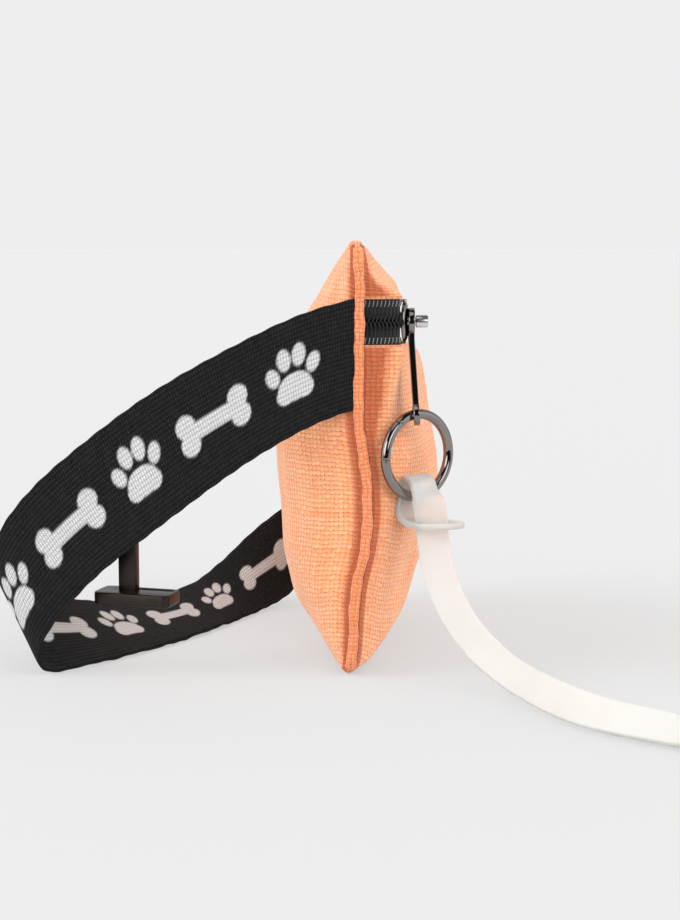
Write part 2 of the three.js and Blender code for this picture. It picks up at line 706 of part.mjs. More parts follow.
const ring = new THREE.Group();
ring.rotation.set(Math.PI / 2, 0, RING_YAW, "ZYX");
ring.position.set(RING_X, SLIDER_Y, RING_Z);
add("ring_body", ringBody(), gunmetal, ring);
add("ring_gate", ringGate(), gunmetal, ring);
add("ring_gate_pin", ringGatePin(), gunmetal, ring);
pouch.add(ring);

add("silicone_loop", siliconeLoop(), silicone);
add("silicone_keeper", siliconeKeeper(), silicone);
add("silicone_strap", siliconeStrap(), silicone);

export default pouch;
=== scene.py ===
import math
from contextlib import contextmanager

import bmesh
import bpy
import numpy as np
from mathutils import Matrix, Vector


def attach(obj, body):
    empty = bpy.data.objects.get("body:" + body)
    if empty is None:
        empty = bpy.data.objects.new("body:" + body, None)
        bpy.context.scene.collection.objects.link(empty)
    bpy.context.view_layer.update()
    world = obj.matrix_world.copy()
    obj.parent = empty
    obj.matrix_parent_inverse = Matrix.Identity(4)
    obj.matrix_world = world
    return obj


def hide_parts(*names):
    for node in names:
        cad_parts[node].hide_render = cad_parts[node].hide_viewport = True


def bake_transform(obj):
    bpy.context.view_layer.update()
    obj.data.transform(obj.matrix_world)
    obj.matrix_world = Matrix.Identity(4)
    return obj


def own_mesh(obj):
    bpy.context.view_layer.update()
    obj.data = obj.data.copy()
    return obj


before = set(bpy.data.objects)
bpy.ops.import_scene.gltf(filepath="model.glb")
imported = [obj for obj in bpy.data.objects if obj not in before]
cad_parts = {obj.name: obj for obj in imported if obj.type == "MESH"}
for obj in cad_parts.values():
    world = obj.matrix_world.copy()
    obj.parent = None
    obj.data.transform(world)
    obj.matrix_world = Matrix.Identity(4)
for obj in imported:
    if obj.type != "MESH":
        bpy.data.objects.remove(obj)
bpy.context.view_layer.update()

MM = 0.001

# ---- measures, in millimetres unless a note says otherwise ----
HEIGHT = 150.0
HALF_WIDTH = 68.0
CORNER_RADIUS = 5.0
SEAM_PROUD = 3.8
SEAM_HALF = 1.7
SEAM_GAP = 1.2
PANEL_HALF = 65.8
PANEL_LOW = 1.4
PANEL_HIGH = 148.8
EDGE_ROLL = 2.2
FRONT_DEPTH = 25.5 - EDGE_ROLL
REAR_DEPTH = 32.5 - EDGE_ROLL
TOP_SAG = 2.0
WRINKLE_DEPTH = 1.5
SIM_FRAMES = 28
REFINED = 3  # times as many rows and columns in a finished panel
ZIP_Z = 122.4
ZIP_HALF = 8.2
ZIP_ROOT = 3.9
ZIP_TURN = 4.0
TAPE_X = 16.5
RIB_PITCH = 1.35
SLIDER_Y = -58.0
RING_CENTRE = np.array([22.8, SLIDER_Y, 76.1])
RING_RADIUS = 14.35
WIRE_RADIUS = 1.75
RING_YAW = math.radians(38.5)
GATE_START = 125.0  # degrees round the ring, like the two below
GATE_END = 181.0
GATE_GAP = 0.6
EYE_Z = RING_CENTRE[2] + RING_RADIUS
BAND_WIDTH = 11.2
BAND_THICK = 2.3
UV_MM = 100.0  # cloth to one unit of UV
AMBIENT = 0.6  # light of the room, from 0 to 1

# ---- camera: low at the pouch's near side seam, looking along +Y ----
camera_data = bpy.data.cameras.new("camera")
camera_data.lens = 68.1
camera_data.sensor_width = 36.0
camera_data.clip_start = 0.01
camera = bpy.data.objects.new("camera", camera_data)
camera.location = (-0.004, -0.656, 0.150)
camera.rotation_euler = (math.radians(90 - 7.2), 0, 0)
bpy.context.scene.collection.objects.link(camera)
bpy.context.scene.camera = camera


# ---- curves ----
def spline(points, count):
    """count points on a natural cubic spline through the given points."""
    p = np.array(points, float)
    n = len(p)
    t = np.concatenate([[0], np.cumsum(np.linalg.norm(np.diff(p[:, :3], axis=0), axis=1) ** 0.5)])
    h = np.diff(t)
    a = np.zeros((n, n))
    b = np.zeros((n, p.shape[1]))
    a[0, 0] = a[-1, -1] = 1
    for i in range(1, n - 1):
        a[i, i - 1], a[i, i], a[i, i + 1] = h[i - 1], 2 * (h[i - 1] + h[i]), h[i]
        b[i] = 6 * ((p[i + 1] - p[i]) / h[i] - (p[i] - p[i - 1]) / h[i - 1])
    m = np.linalg.solve(a, b)
    x = np.linspace(0, t[-1], count)
    k = np.clip(np.searchsorted(t, x, side="right") - 1, 0, n - 2)
    u, w, hk = (x - t[k])[:, None], (t[k + 1] - x)[:, None], h[k][:, None]
    bend = m[k] * w**3 / (6 * hk) + m[k + 1] * u**3 / (6 * hk)
    return bend + (p[k] / hk - m[k] * hk / 6) * w + (p[k + 1] / hk - m[k + 1] * hk / 6) * u


def run_length(points):
    """How far along a line each of its points lies."""
    return np.concatenate([[0], np.cumsum(np.linalg.norm(np.diff(points, axis=0), axis=1))])


def resample(points, run, wanted):
    """The places on a line at the wanted distances along it."""
    return np.stack([np.interp(wanted, run, points[:, k]) for k in range(points.shape[1])], -1)


def even(points, count):
    """The same line at count points of even arc length."""
    p = np.array(points, float)
    run = run_length(p)
    return resample(p, run, np.linspace(0, run[-1], count))


def unit(v):
    return v / np.maximum(np.linalg.norm(v, axis=-1, keepdims=True), 1e-12)


def tangents(p, looped=False):
    return unit(np.roll(p, -1, 0) - np.roll(p, 1, 0) if looped else np.gradient(p, axis=0))


def outward(plan):
    """Unit vectors square to a line in plan, (x, y), on its right."""
    step = tangents(plan)
    return np.stack([step[:, 1], -step[:, 0]], 1)


def ellipse(half_u, half_v, count=64, middle=(0, 0)):
    a = np.linspace(0, 2 * np.pi, count, endpoint=False)
    return np.stack([half_u * np.cos(a), half_v * np.sin(a)], 1) + middle


def rounded(half_u, half_v, r, steps=5):
    """Closed outline of a rectangle with round corners."""
    out = []
    for quarter, (su, sv) in enumerate(((1, 1), (-1, 1), (-1, -1), (1, -1))):
        for k in range(steps + 1):
            a = math.radians(90 * (quarter + k / steps))
            out.append((su * (half_u - r) + r * math.cos(a), sv * (half_v - r) + r * math.sin(a)))
    return np.array(out)


def metres(point):
    return tuple(MM * c for c in point)


# ---- meshes ----
def add_object(name, data):
    obj = bpy.data.objects.new(name, data)
    bpy.context.scene.collection.objects.link(obj)
    return obj


def add_mesh(name, verts, faces, material, uv=None, point_values=None):
    """A smooth piece from points in millimetres, with uv in millimetres of cloth at each point."""
    mesh = bpy.data.meshes.new(name)
    mesh.from_pydata((np.asarray(verts, float) * MM).tolist(), [], [tuple(map(int, f)) for f in faces])
    mesh.validate()
    if uv is not None:
        layer = mesh.uv_layers.new(name="cloth")
        index = np.zeros(len(mesh.loops), np.int32)
        mesh.loops.foreach_get("vertex_index", index)
        layer.data.foreach_set("uv", (np.asarray(uv)[index] / UV_MM).astype(np.float32).ravel())
    for key, values in (point_values or {}).items():
        layer = mesh.attributes.new(key, "FLOAT", "POINT")
        layer.data.foreach_set("value", np.asarray(values, np.float32).ravel())
    mesh.shade_smooth()
    mesh.materials.append(material)
    return add_object(name, mesh)


def grid_faces(rows, columns, looped_rows=False, looped_columns=False, flip=False):
    i = np.arange(rows if looped_rows else rows - 1)
    j = np.arange(columns if looped_columns else columns - 1)
    ii, jj = np.meshgrid(i, j, indexing="ij")
    i2, j2 = (ii + 1) % rows, (jj + 1) % columns
    f = np.stack([ii * columns + jj, ii * columns + j2, i2 * columns + j2, i2 * columns + jj], -1)
    f = f.reshape(-1, 4)
    return f[:, ::-1] if flip else f


def tube_faces(rows, sides, looped=False):
    """Faces of a tube made of rings of points, with a flat cap on each end unless it is looped."""
    faces = grid_faces(rows, sides, looped, True).tolist()
    if not looped:
        faces.append(list(range(sides))[::-1])
        faces.append(list(range((rows - 1) * sides, rows * sides)))
    return faces


def rings_along(path, section, across, looped=False):
    """A section, of (u, v) pairs with u along across, set square to a path at each of its points."""
    t = tangents(path, looped)
    a = np.asarray(across, float) * np.ones_like(path)
    a = unit(a - (a * t).sum(1, keepdims=True) * t)
    n = np.cross(t, a)
    return path[:, None] + section[..., :1] * a[:, None] + section[..., 1:] * n[:, None]


def sweep(name, path, section, across, material, looped=False, point_values=None):
    """Tube along a path, with one section, or one for each of its points."""
    section = np.broadcast_to(section, (len(path), *section.shape[-2:]))
    verts = rings_along(path, section, across, looped)
    along, girth = run_length(path), run_length(section[0])
    uv = np.stack(np.broadcast_arrays(along[:, None], girth[None]), -1).reshape(-1, 2)
    faces = tube_faces(*verts.shape[:2], looped)
    return add_mesh(name, verts.reshape(-1, 3), faces, material, uv, point_values)


@contextmanager
def editing(obj):
    """Opens a piece's mesh for editing and writes it back."""
    bm = bmesh.new()
    bm.from_mesh(obj.data)
    yield bm
    bm.to_mesh(obj.data)
    bm.free()


def points_of(mesh):
    """A mesh's points in millimetres."""
    co = np.zeros(len(mesh.vertices) * 3)
    mesh.vertices.foreach_get("co", co)
    return co.reshape(-1, 3) / MM


def move_points(mesh, change):
    """Replaces a mesh's points, in millimetres, by what change makes of them."""
    mesh.vertices.foreach_set("co", (change(points_of(mesh)) * MM).ravel())


def finish_hard(obj):
    """Welds, recalculates normals and shades smooth by angle."""
    with editing(obj) as bm:
        bmesh.ops.remove_doubles(bm, verts=bm.verts, dist=1e-6)
        bmesh.ops.recalc_face_normals(bm, faces=bm.faces)
    obj.data.shade_smooth()
    obj.data.set_sharp_from_angle(angle=math.radians(35))
    return obj


def bevelled(name, outline, x0, x1, material, bevel, holes=(), to_world=None):
    """Plate cut to an outline in (Y, Z), between x0 and x1, with rounded edges; holes are outlines too."""
    curve = bpy.data.curves.new(name, "CURVE")
    curve.dimensions = "2D"
    curve.fill_mode = "BOTH"
    for loop in [outline, *holes]:
        line = curve.splines.new("POLY")
        line.points.add(len(loop) - 1)
        for point, (y, z) in zip(line.points, loop):
            point.co = (y * MM, z * MM, 0, 1)
        line.use_cyclic_u = True
    curve.extrude = ((x1 - x0) / 2 - bevel) * MM
    curve.bevel_depth = bevel * MM
    curve.bevel_resolution = 3
    curve.offset = -bevel * MM
    flat = add_object(name + "_curve", curve)
    bpy.context.view_layer.update()
    mesh = bpy.data.meshes.new_from_object(flat.evaluated_get(bpy.context.evaluated_depsgraph_get()))
    bpy.data.objects.remove(flat)
    mesh.name = name

    def stand(p):
        p = np.stack([p[:, 2] + (x0 + x1) / 2, p[:, 0], p[:, 1]], 1)
        return to_world(p) if to_world else p

    move_points(mesh, stand)
    mesh.materials.clear()
    mesh.materials.append(material)
    return finish_hard(add_object(name, mesh))


def lathe(name, profile, origin, axis, material, sides=48, hollow=False):
    """Solid of revolution: profile is (distance along axis, radius) pairs, and closes on itself if hollow."""
    axis = Vector(axis).normalized()
    side = axis.orthogonal().normalized()
    other = axis.cross(side)
    verts = []
    for along, radius in profile:
        for k in range(sides):
            a = 2 * math.pi * k / sides
            out = (side * math.cos(a) + other * math.sin(a)) * radius
            verts.append(tuple(Vector(origin) + axis * along + out))
    return finish_hard(add_mesh(name, verts, tube_faces(len(profile), sides, hollow), material))


def join(name, parts):
    """One object from several with the same material."""
    for obj in bpy.context.selected_objects:
        obj.select_set(False)
    for obj in parts:
        obj.select_set(True)
    bpy.context.view_layer.objects.active = parts[0]
    bpy.ops.object.join()
    parts[0].name = parts[0].data.name = name
    return parts[0]


def place(obj, body, stands_for=None):
    """Rides a finished piece on its body and hides the CAD node that it stands for."""
    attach(obj, body)
    if stands_for:
        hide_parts(stands_for)
    return obj


# ---- materials ----
def operator(operation):
    return lambda a, b: a.tree.math(operation, a, b)


class Value:
    """A node's output; sums on it add Math nodes."""

    def __init__(self, tree, socket):
        self.tree = tree
        self.socket = socket

    __add__ = operator("ADD")
    __sub__ = operator("SUBTRACT")
    __mul__ = operator("MULTIPLY")
    __truediv__ = operator("DIVIDE")
    __pow__ = operator("POWER")
    more = operator("MAXIMUM")

    def __rsub__(self, other):
        return self.tree.math("SUBTRACT", other, self)


class Tree:
    """A node tree, with a short call for each kind of node that is used here."""

    def __init__(self, tree):
        self.links = tree.links
        self.nodes = tree.nodes

    def put(self, socket, value):
        """Links a node's output to a socket, or sets the socket to a constant."""
        if isinstance(value, Value):
            self.links.new(value.socket, socket)
        else:
            socket.default_value = value

    def node(self, kind, inputs, output=0, **settings):
        node = self.nodes.new("ShaderNode" + kind)
        for key, value in settings.items():
            setattr(node, key, value)
        for key, value in inputs.items():
            self.put(node.inputs[key], value)
        return Value(self, node.outputs[output])

    def math(self, operation, *values, clamp=False):
        return self.node("Math", dict(enumerate(values)), operation=operation, use_clamp=clamp)

    def combine(self, x, y, z=0.0):
        return self.node("CombineXYZ", {0: x, 1: y, 2: z})

    def coordinates(self, kind):
        return self.node("TexCoord", {}, kind)

    def noise(self, scale, vector, detail=3.0, roughness=0.55):
        inputs = {"Scale": scale, "Vector": vector, "Detail": detail, "Roughness": roughness}
        return self.node("TexNoise", inputs, "Fac")

    def white(self, vector):
        return self.node("TexWhiteNoise", {"Vector": vector}, "Value")

    def attribute(self, name):
        return self.node("Attribute", {}, "Fac", attribute_name=name)

    def remap(self, value, a0, a1, b0, b1, **settings):
        inputs = {"Value": value, "From Min": a0, "From Max": a1, "To Min": b0, "To Max": b1}
        return self.node("MapRange", inputs, "Result", **settings)

    def mix(self, factor, a, b):
        """Mixes two colours."""
        return self.node("Mix", {0: factor, 6: a, 7: b}, 2, data_type="RGBA")


class Shader(Tree):
    """A material, whose one shader takes its values from nodes."""

    def __init__(self, name):
        self.material = bpy.data.materials.new(name)
        self.material.use_nodes = True
        super().__init__(self.material.node_tree)

    def set(self, **values):
        """Gives the shader's own sockets their values and returns the material."""
        sockets = self.nodes["Principled BSDF"].inputs
        for key, value in values.items():
            self.put(sockets[key.replace("_", " ")], value)
        return self.material

    def uv(self):
        """(u, v) in millimetres of cloth."""
        cloth = self.node("UVMap", {}, uv_map="cloth")
        return [self.node("SeparateXYZ", {0: cloth}, axis) * UV_MM for axis in ("X", "Y")]

    def bump(self, height, distance, strength=1.0, **under):
        inputs = {"Height": height, "Distance": distance * MM, "Strength": strength}
        return self.node("Bump", {**inputs, **under})

    def plain_weave(self, u, v, pitch_u, pitch_v, lean=0.55, cross=1.0):
        """Warp and weft pass over in turn. Gives the weave's height, a random value for each crossing and
        one for each thread, and a mask of the gaps between threads for painted shade."""
        cu, cv = u / pitch_u, v / pitch_v
        iu, iv = self.math("FLOOR", cu), self.math("FLOOR", cv)
        over = self.math("PINGPONG", iu + iv, 1.0)
        under = 1.0 - over
        hu, hv = (self.math("SINE", self.math("FRACT", c) * math.pi) for c in (cu, cv))
        height = hu**cross * hv**lean * over + hv**cross * hu**lean * under
        cell = self.white(self.combine(iu, iv))
        strand = self.white(self.combine(iu * over + (iv + 500.0) * under, 0.0, 3.0))
        corner = self.remap(hu.more(hv), 0.2, 0.55, 0.8, 0.0)
        level = self.remap(hv, 0.0, 0.3, 0.8, 0.0) * self.remap(cell, 0.2, 0.8, 0.1, 1.0)
        upright = self.remap(hu, 0.0, 0.26, 0.8, 0.0) * self.remap(cell, 0.25, 0.75, 1.0, 0.0)
        return height, cell, strand, corner.more(level.more(upright))


def srgb(r, g, b):
    def one(c):
        c /= 255
        return c / 12.92 if c <= 0.04045 else ((c + 0.055) / 1.055) ** 2.4

    return (one(r), one(g), one(b), 1.0)


# deep is the colour of the painted shade in the thread gaps, the seam's groove and the rolled edges
def canvas_material(name, light, mid, deep, pitch, bump=0.42):
    """Coarse plain-weave cotton canvas with slubby threads and dark pits between them, which are painted
    shade.
    """
    s = Shader(name)
    u, v = s.uv()
    flat = s.combine(u, v)
    wander_u = (s.noise(0.09, flat) - 0.5) * 1.6
    wander_v = (s.noise(0.11, s.combine(v, u, 7.0)) - 0.5) * 1.6
    jitter_u = (s.noise(0.55, s.combine(u, v, 3.0), 1.0) - 0.5) * 0.9
    jitter_v = (s.noise(0.6, s.combine(v, u, 11.0), 1.0) - 0.5) * 0.8
    squat = 0.86
    height, cell, strand, thread_gap_shade = s.plain_weave(
        u + wander_u + jitter_u, v + wander_v + jitter_v, pitch, pitch * squat
    )
    fibre = s.noise(7.0, flat, 4.0, 0.65)
    slub = s.noise(0.5, s.combine(u * 0.2, v), 2.0)
    tone = (cell * 0.35 + strand * 0.65) * 0.7 + fibre * 0.3
    colour = s.mix(s.remap(tone, 0.15, 0.85, 0.0, 1.0), mid, light)
    # painted shade in the gaps between threads
    pit_shade = s.math("MULTIPLY", thread_gap_shade, s.remap(slub, 0.3, 0.7, 0.55, 1.1), clamp=True)
    colour = s.mix(pit_shade, colour, deep)
    return s.set(
        # painted shade in the seam's groove and on the rolled edges, read from the panels' attribute
        Base_Color=s.mix(s.attribute("groove_shade") * 0.75, colour, deep),
        Normal=s.bump(height + fibre * 0.35 + slub * 0.25, bump),
        Roughness=s.remap(height, 0.0, 1.0, 0.98, 0.84), Specular_IOR_Level=0.12,
        Sheen_Weight=1.0, Sheen_Roughness=0.3, Sheen_Tint=srgb(255, 226, 204),
    )


def webbing_material():
    """Black woven webbing, printed in white; the print sits on the tops of the threads."""
    s = Shader("webbing")
    u, v = s.uv()
    height, cell = s.plain_weave(u, v, 0.95, 1.55, 0.5, 0.9)[:2]
    fibre = s.noise(5.0, s.combine(u, v * 3.0), 3.0)
    black = s.mix(cell, srgb(17, 17, 18), srgb(28, 28, 29))
    # lighter grey on the threads' crowns, where the weave stands highest
    lighter_crowns = s.mix(s.remap(height, 0.6, 1.0, 0.0, 1.0) * fibre, black, srgb(58, 58, 60))
    ink = s.attribute("print") * s.remap(height, 0.1, 0.42, 0.55, 1.0)
    ink = ink * s.remap(s.noise(0.9, s.combine(u, v)), 0.25, 0.45, 0.88, 1.0)
    white = s.mix(fibre, srgb(198, 198, 198), srgb(216, 216, 216))
    return s.set(
        Base_Color=s.mix(ink, lighter_crowns, white), Normal=s.bump(height + fibre * 0.3, 0.3),
        Roughness=s.remap(fibre, 0.2, 0.8, 0.62, 0.85), Specular_IOR_Level=0.1,
        Sheen_Weight=0.03, Sheen_Roughness=0.4,
    )


def tape_material():
    """Fine black zip tape, ribbed across by the pull of the coil's loops."""
    s = Shader("zip_tape")
    u, v = s.uv()
    height, cell, strand = s.plain_weave(u, v, 0.55, 0.42, 0.5, 0.8)[:3]
    rib = s.math("ABSOLUTE", s.math("SINE", u * (math.pi / RIB_PITCH)))
    # painted highlight on the ribs' crests and painted shade between them
    tone = s.remap(cell, 0.0, 1.0, 0.5, 1.0) * rib
    return s.set(
        Base_Color=s.mix(tone, srgb(7, 7, 8), srgb(40, 40, 42)),
        Normal=s.bump(rib, 0.4, Normal=s.bump(height, 0.14)),
        Roughness=s.remap(strand, 0.0, 1.0, 0.6, 0.85), Sheen_Weight=0.1, Specular_IOR_Level=0.35,
    )


def thread_material():
    """Twisted sewing thread."""
    s = Shader("zip_thread")
    u, v = s.uv()
    twist = s.math("SINE", u * 9.0 + v * 7.0)
    # painted highlight and shade along the twist, following its bump
    tone = s.remap(twist, -1.0, 1.0, 0.0, 1.0)
    return s.set(Base_Color=s.mix(tone, srgb(60, 60, 62), srgb(168, 168, 170)), Normal=s.bump(twist, 0.06),
                 Roughness=s.remap(twist, -1.0, 1.0, 0.75, 0.5))


def metal_material(name, dark, light, rough, wear):
    """Plated metal: slow tone changes, hairline scratches and handling smears."""
    s = Shader(name)
    where = s.coordinates("Object")
    smear = s.noise(160.0, where, 3.0)
    hair = s.noise(900.0, where, 4.0, 0.7)
    return s.set(Base_Color=s.mix(smear, dark, light), Normal=s.bump(hair, 0.012, 0.5),
                 Roughness=s.remap(smear, 0.3, 0.75, rough, rough + wear), Metallic=1.0)


def nylon_material():
    s = Shader("zip_coil")
    where = s.coordinates("Object")
    return s.set(Base_Color=s.mix(s.noise(500.0, where), srgb(16, 16, 17), srgb(34, 34, 36)),
                 Roughness=s.remap(s.noise(700.0, where), 0.3, 0.7, 0.28, 0.42))


def silicone_material():
    """Milky, see-through silicone rubber with a soft matt skin."""
    s = Shader("silicone")
    where = s.coordinates("Object")
    cloud = s.noise(55.0, where, 2.0)
    return s.set(
        Base_Color=s.mix(cloud, srgb(232, 228, 223), srgb(239, 236, 232)),
        Normal=s.bump(s.noise(1400.0, where, 2.0), 0.02, 0.6),
        Roughness=s.remap(s.noise(380.0, where), 0.3, 0.7, 0.36, 0.5),
        Subsurface_Weight=0.7, Subsurface_Scale=0.006, Subsurface_Radius=(1.0, 0.85, 0.7),
        Transmission_Weight=0.62, IOR=1.41, Specular_IOR_Level=0.4,
    )


CANVAS = canvas_material("canvas", srgb(254, 184, 138), srgb(247, 156, 107), srgb(168, 70, 40), 1.9)
SEAM_CANVAS = canvas_material("canvas_seam", srgb(250, 162, 116), srgb(236, 134, 88), srgb(158, 66, 38), 1.45)
LINING = canvas_material("lining", srgb(222, 206, 186), srgb(206, 188, 166), srgb(150, 128, 104), 0.7, 0.1)
WEBBING = webbing_material()
TAPE = tape_material()
THREAD = thread_material()
GUNMETAL = metal_material("gunmetal", srgb(132, 126, 124), srgb(154, 148, 145), 0.06, 0.06)
DARK_METAL = metal_material("toggle_metal", srgb(50, 45, 42), srgb(68, 62, 58), 0.3, 0.1)
PIN_STEEL = metal_material("pin_steel", srgb(214, 214, 216), srgb(232, 232, 234), 0.24, 0.1)
NYLON = nylon_material()
SILICONE = silicone_material()


# ---- silicone strap, the one free cord ----
BAND_ROUTE = [
    (26.8, -62.9, 59.2), (27.7, -63.5, 51.6), (29.6, -67.0, 38.4), (34.2, -72.2, 26.2),
    (41.4, -79.2, 16.0), (50.6, -89.6, 8.6), (61.5, -108.7, 5.6), (75.9, -134.0, 5.4),
    (97.2, -151.4, 4.8), (110.0, -157.6, 3.2), (121.0, -161.6, 1.8), (132.0, -164.6, 1.5),
]
BAND_ACROSS = [
    (1, 0.05, 0.05), (1, 0.02, 0.1), (0.97, 0, 0.24), (0.94, 0, 0.35), (0.76, 0.1, 0.64),
    (0.56, 0.5, 0.66), (0.36, 0.6, 0.72), (0.2, 0.7, 0.68), (0.1, 0.82, 0.56), (0.05, 0.9, 0.3),
    (0, 1, 0.05), (0, 1, 0),
]
LOOP_ROUTE = [
    (26.6, -62.9, 59.0), (25.4, -61.7, 63.6), (23.9, -59.4, 67.4), (22.0, -56.8, 68.0),
    (20.8, -55.2, 64.4), (19.9, -55.4, 59.6), (19.4, -57.0, 55.6), (20.8, -59.4, 53.2),
    (24.4, -61.2, 52.6),
]
LOOP_TOP = 3
FOLD_ACROSS = (math.cos(RING_YAW), math.sin(RING_YAW), 0)
FLOOR_CLEAR = 1.25
TIP_ROUND = 5.6


def band_sections(count):
    return np.repeat(rounded(BAND_WIDTH / 2, BAND_THICK / 2, 0.7, 4)[None], count, 0)


def silicone_strap():
    """The long run, with the front half of the fold over the ring's wire."""
    fold = [(*p, *FOLD_ACROSS) for p in LOOP_ROUTE[LOOP_TOP:0:-1]]
    both = spline(fold + [(*p, *a) for p, a in zip(BAND_ROUTE, BAND_ACROSS)], 190)
    path, across = both[:, :3], both[:, 3:]
    path[:, 2] = np.maximum(path[:, 2], FLOOR_CLEAR)
    run = run_length(path)
    tip = 1 - (1 - np.minimum((run[-1] - run) / TIP_ROUND, 1)) ** 2
    sections = band_sections(len(path))
    sections[:, :, 0] *= np.sqrt(np.clip(tip, 0.02, 1))[:, None]
    sections[:3] *= np.array([0.94, 0.98, 1.0])[:, None, None]
    obj = sweep("silicone_strap_band", path, sections, across, SILICONE)
    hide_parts("silicone_strap")
    metres((29.6, -67.0, 30.0))
    metres((27.0, -63.0, 56.0))
    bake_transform(obj)
    return obj, path


def silicone_loop():
    """The back half of the fold, whose width turns as it comes down to the keeper."""
    path = spline(LOOP_ROUTE, 90)[30:]
    index = np.arange(len(path))
    turn = np.clip((index - 15) / 35, 0, 1)[:, None]
    across = np.array(FOLD_ACROSS) * (1 - turn) + np.array([0.4, 0.9, 0]) * turn
    sections = band_sections(len(path)) * (1 - 0.05 * np.clip(1 - index / 20, 0, 1))[:, None, None]
    obj = sweep("silicone_loop_band", path, sections, across, SILICONE)
    return place(obj, "pull", "silicone_loop")


def silicone_keeper():
    """The strap's slotted end, a flat oval tab round the long run."""
    def lie_flat(p):
        return np.stack([p[:, 1] + 29.4, p[:, 2] - 63.2, p[:, 0] + 51.6], 1)

    slot = ellipse(BAND_WIDTH / 2 + 1.3, BAND_THICK / 2 + 1.6, middle=(-1.8, 0))
    obj = bevelled("silicone_keeper_tab", ellipse(9.6, 6.0), 0, 2.0, SILICONE, 0.6, [slot], lie_flat)
    return place(obj, "pull", "silicone_keeper")


strap_band, band_path = silicone_strap()
metres(LOOP_ROUTE[LOOP_TOP])
[metres(p) for p in band_path]
silicone_loop()
silicone_keeper()


# ---- pouch: form ----
SEAM_LINE = [
    (0, -1.6), (8, 0.2), (30, 1.5), (43, 4.2), (56, 5.5), (72, 4.6), (90, 2.4), (128, 2.7), (150, 1.7),
]
LOW_ROWS = PANEL_LOW + (ZIP_Z - ZIP_HALF - PANEL_LOW) * (0.5 - 0.5 * np.cos(np.linspace(0, np.pi, 62)))
ZIP_ROWS = np.linspace(ZIP_Z - ZIP_HALF, ZIP_Z + ZIP_HALF, 8)[1:-1]
HIGH_ROWS = ZIP_Z + ZIP_HALF + (PANEL_HIGH - ZIP_Z - ZIP_HALF) * np.sin(np.linspace(0, np.pi / 2, 22))
ROWS = np.concatenate([LOW_ROWS, ZIP_ROWS, HIGH_ROWS])
COLUMNS = PANEL_HALF * np.sin(np.linspace(-np.pi / 2, np.pi / 2, 77))
LOW_COUNT = len(LOW_ROWS)
HIGH_START = LOW_COUNT + len(ZIP_ROWS)


def seam_x(z):
    """Middle of the seam ridge, which wanders a little as a hand-sewn edge does."""
    heights, offsets = spline(SEAM_LINE, 200).T
    return np.interp(z, heights, offsets)


def swell(z, depth, skew, power):
    """Depth of a panel at each height, greatest a little below its middle."""
    s = np.clip((z - PANEL_LOW) / (PANEL_HIGH - PANEL_LOW), 0, 1)
    return depth * np.clip(np.sin(np.pi * s**skew), 0, 1) ** power


def zip_plan_x(y):
    """X of the cloth along the zip: straight across the front, turned in to the seam at its ends."""
    e = np.clip((PANEL_HALF - np.abs(y)) / ZIP_TURN, 0, 1)
    return ZIP_ROOT + (TAPE_X + 0.7 - ZIP_ROOT) * np.sqrt(1 - (1 - e) ** 2)


def top_dip(y):
    """The top edge sags a little between its corners."""
    return TOP_SAG * np.cos(np.pi * y / (2 * HALF_WIDTH)) ** 1.5


def from_edge(y, z):
    """Distance in from the panel's edge."""
    return np.minimum(PANEL_HALF - np.abs(y), np.minimum(z - PANEL_LOW, PANEL_HIGH - z))


def panel_form(side):
    """Points of a panel before its wrinkles: rows up, columns along Y. Side is 1 in front and -1 behind."""
    y, z = np.meshgrid(COLUMNS, ROWS)
    across = np.clip(1 - (y / PANEL_HALF) ** 2, 0, 1) ** 0.66
    roll = EDGE_ROLL * (1 - np.exp(-np.maximum(from_edge(y, z), 0) / 1.3))
    if side > 0:
        x = roll + swell(z, FRONT_DEPTH, 0.9, np.where(z > ZIP_Z, 0.62, 0.40)) * across
        tape = zip_plan_x(y) - seam_x(z) - SEAM_GAP
        reach_below, reach_above, reach_in = 22.0, 4.5, 3.6
        reach = np.where(tape > x, np.where(z < ZIP_Z, reach_below, reach_above), reach_in)
        pull = np.exp(-((np.maximum(np.abs(z - ZIP_Z) - ZIP_HALF, 0) / reach) ** 2))
        x = x + pull * (tape - x)
        sagging = np.clip((z - ZIP_Z - ZIP_HALF - 1) / 10, 0, 1)
    else:
        x = roll + swell(z, REAR_DEPTH, 0.85, 0.75) * across
        sagging = 1
    z_out = z - sagging * (z - PANEL_LOW) * top_dip(y) / (PANEL_HIGH - PANEL_LOW)
    return np.stack([seam_x(z) + side * (SEAM_GAP + x), y, z_out], -1)


# ---- pouch: wrinkles from a cloth simulation ----
CLOTH_SETTINGS = {
    "quality": 7, "mass": 0.25, "shrink_min": -0.03, "vertex_group_mass": "held",
    "tension_stiffness": 22, "compression_stiffness": 12, "shear_stiffness": 6, "bending_stiffness": 0.08,
    "tension_damping": 12, "compression_damping": 12, "shear_damping": 8,
    "use_pressure": True, "uniform_pressure_force": 1.4,
}


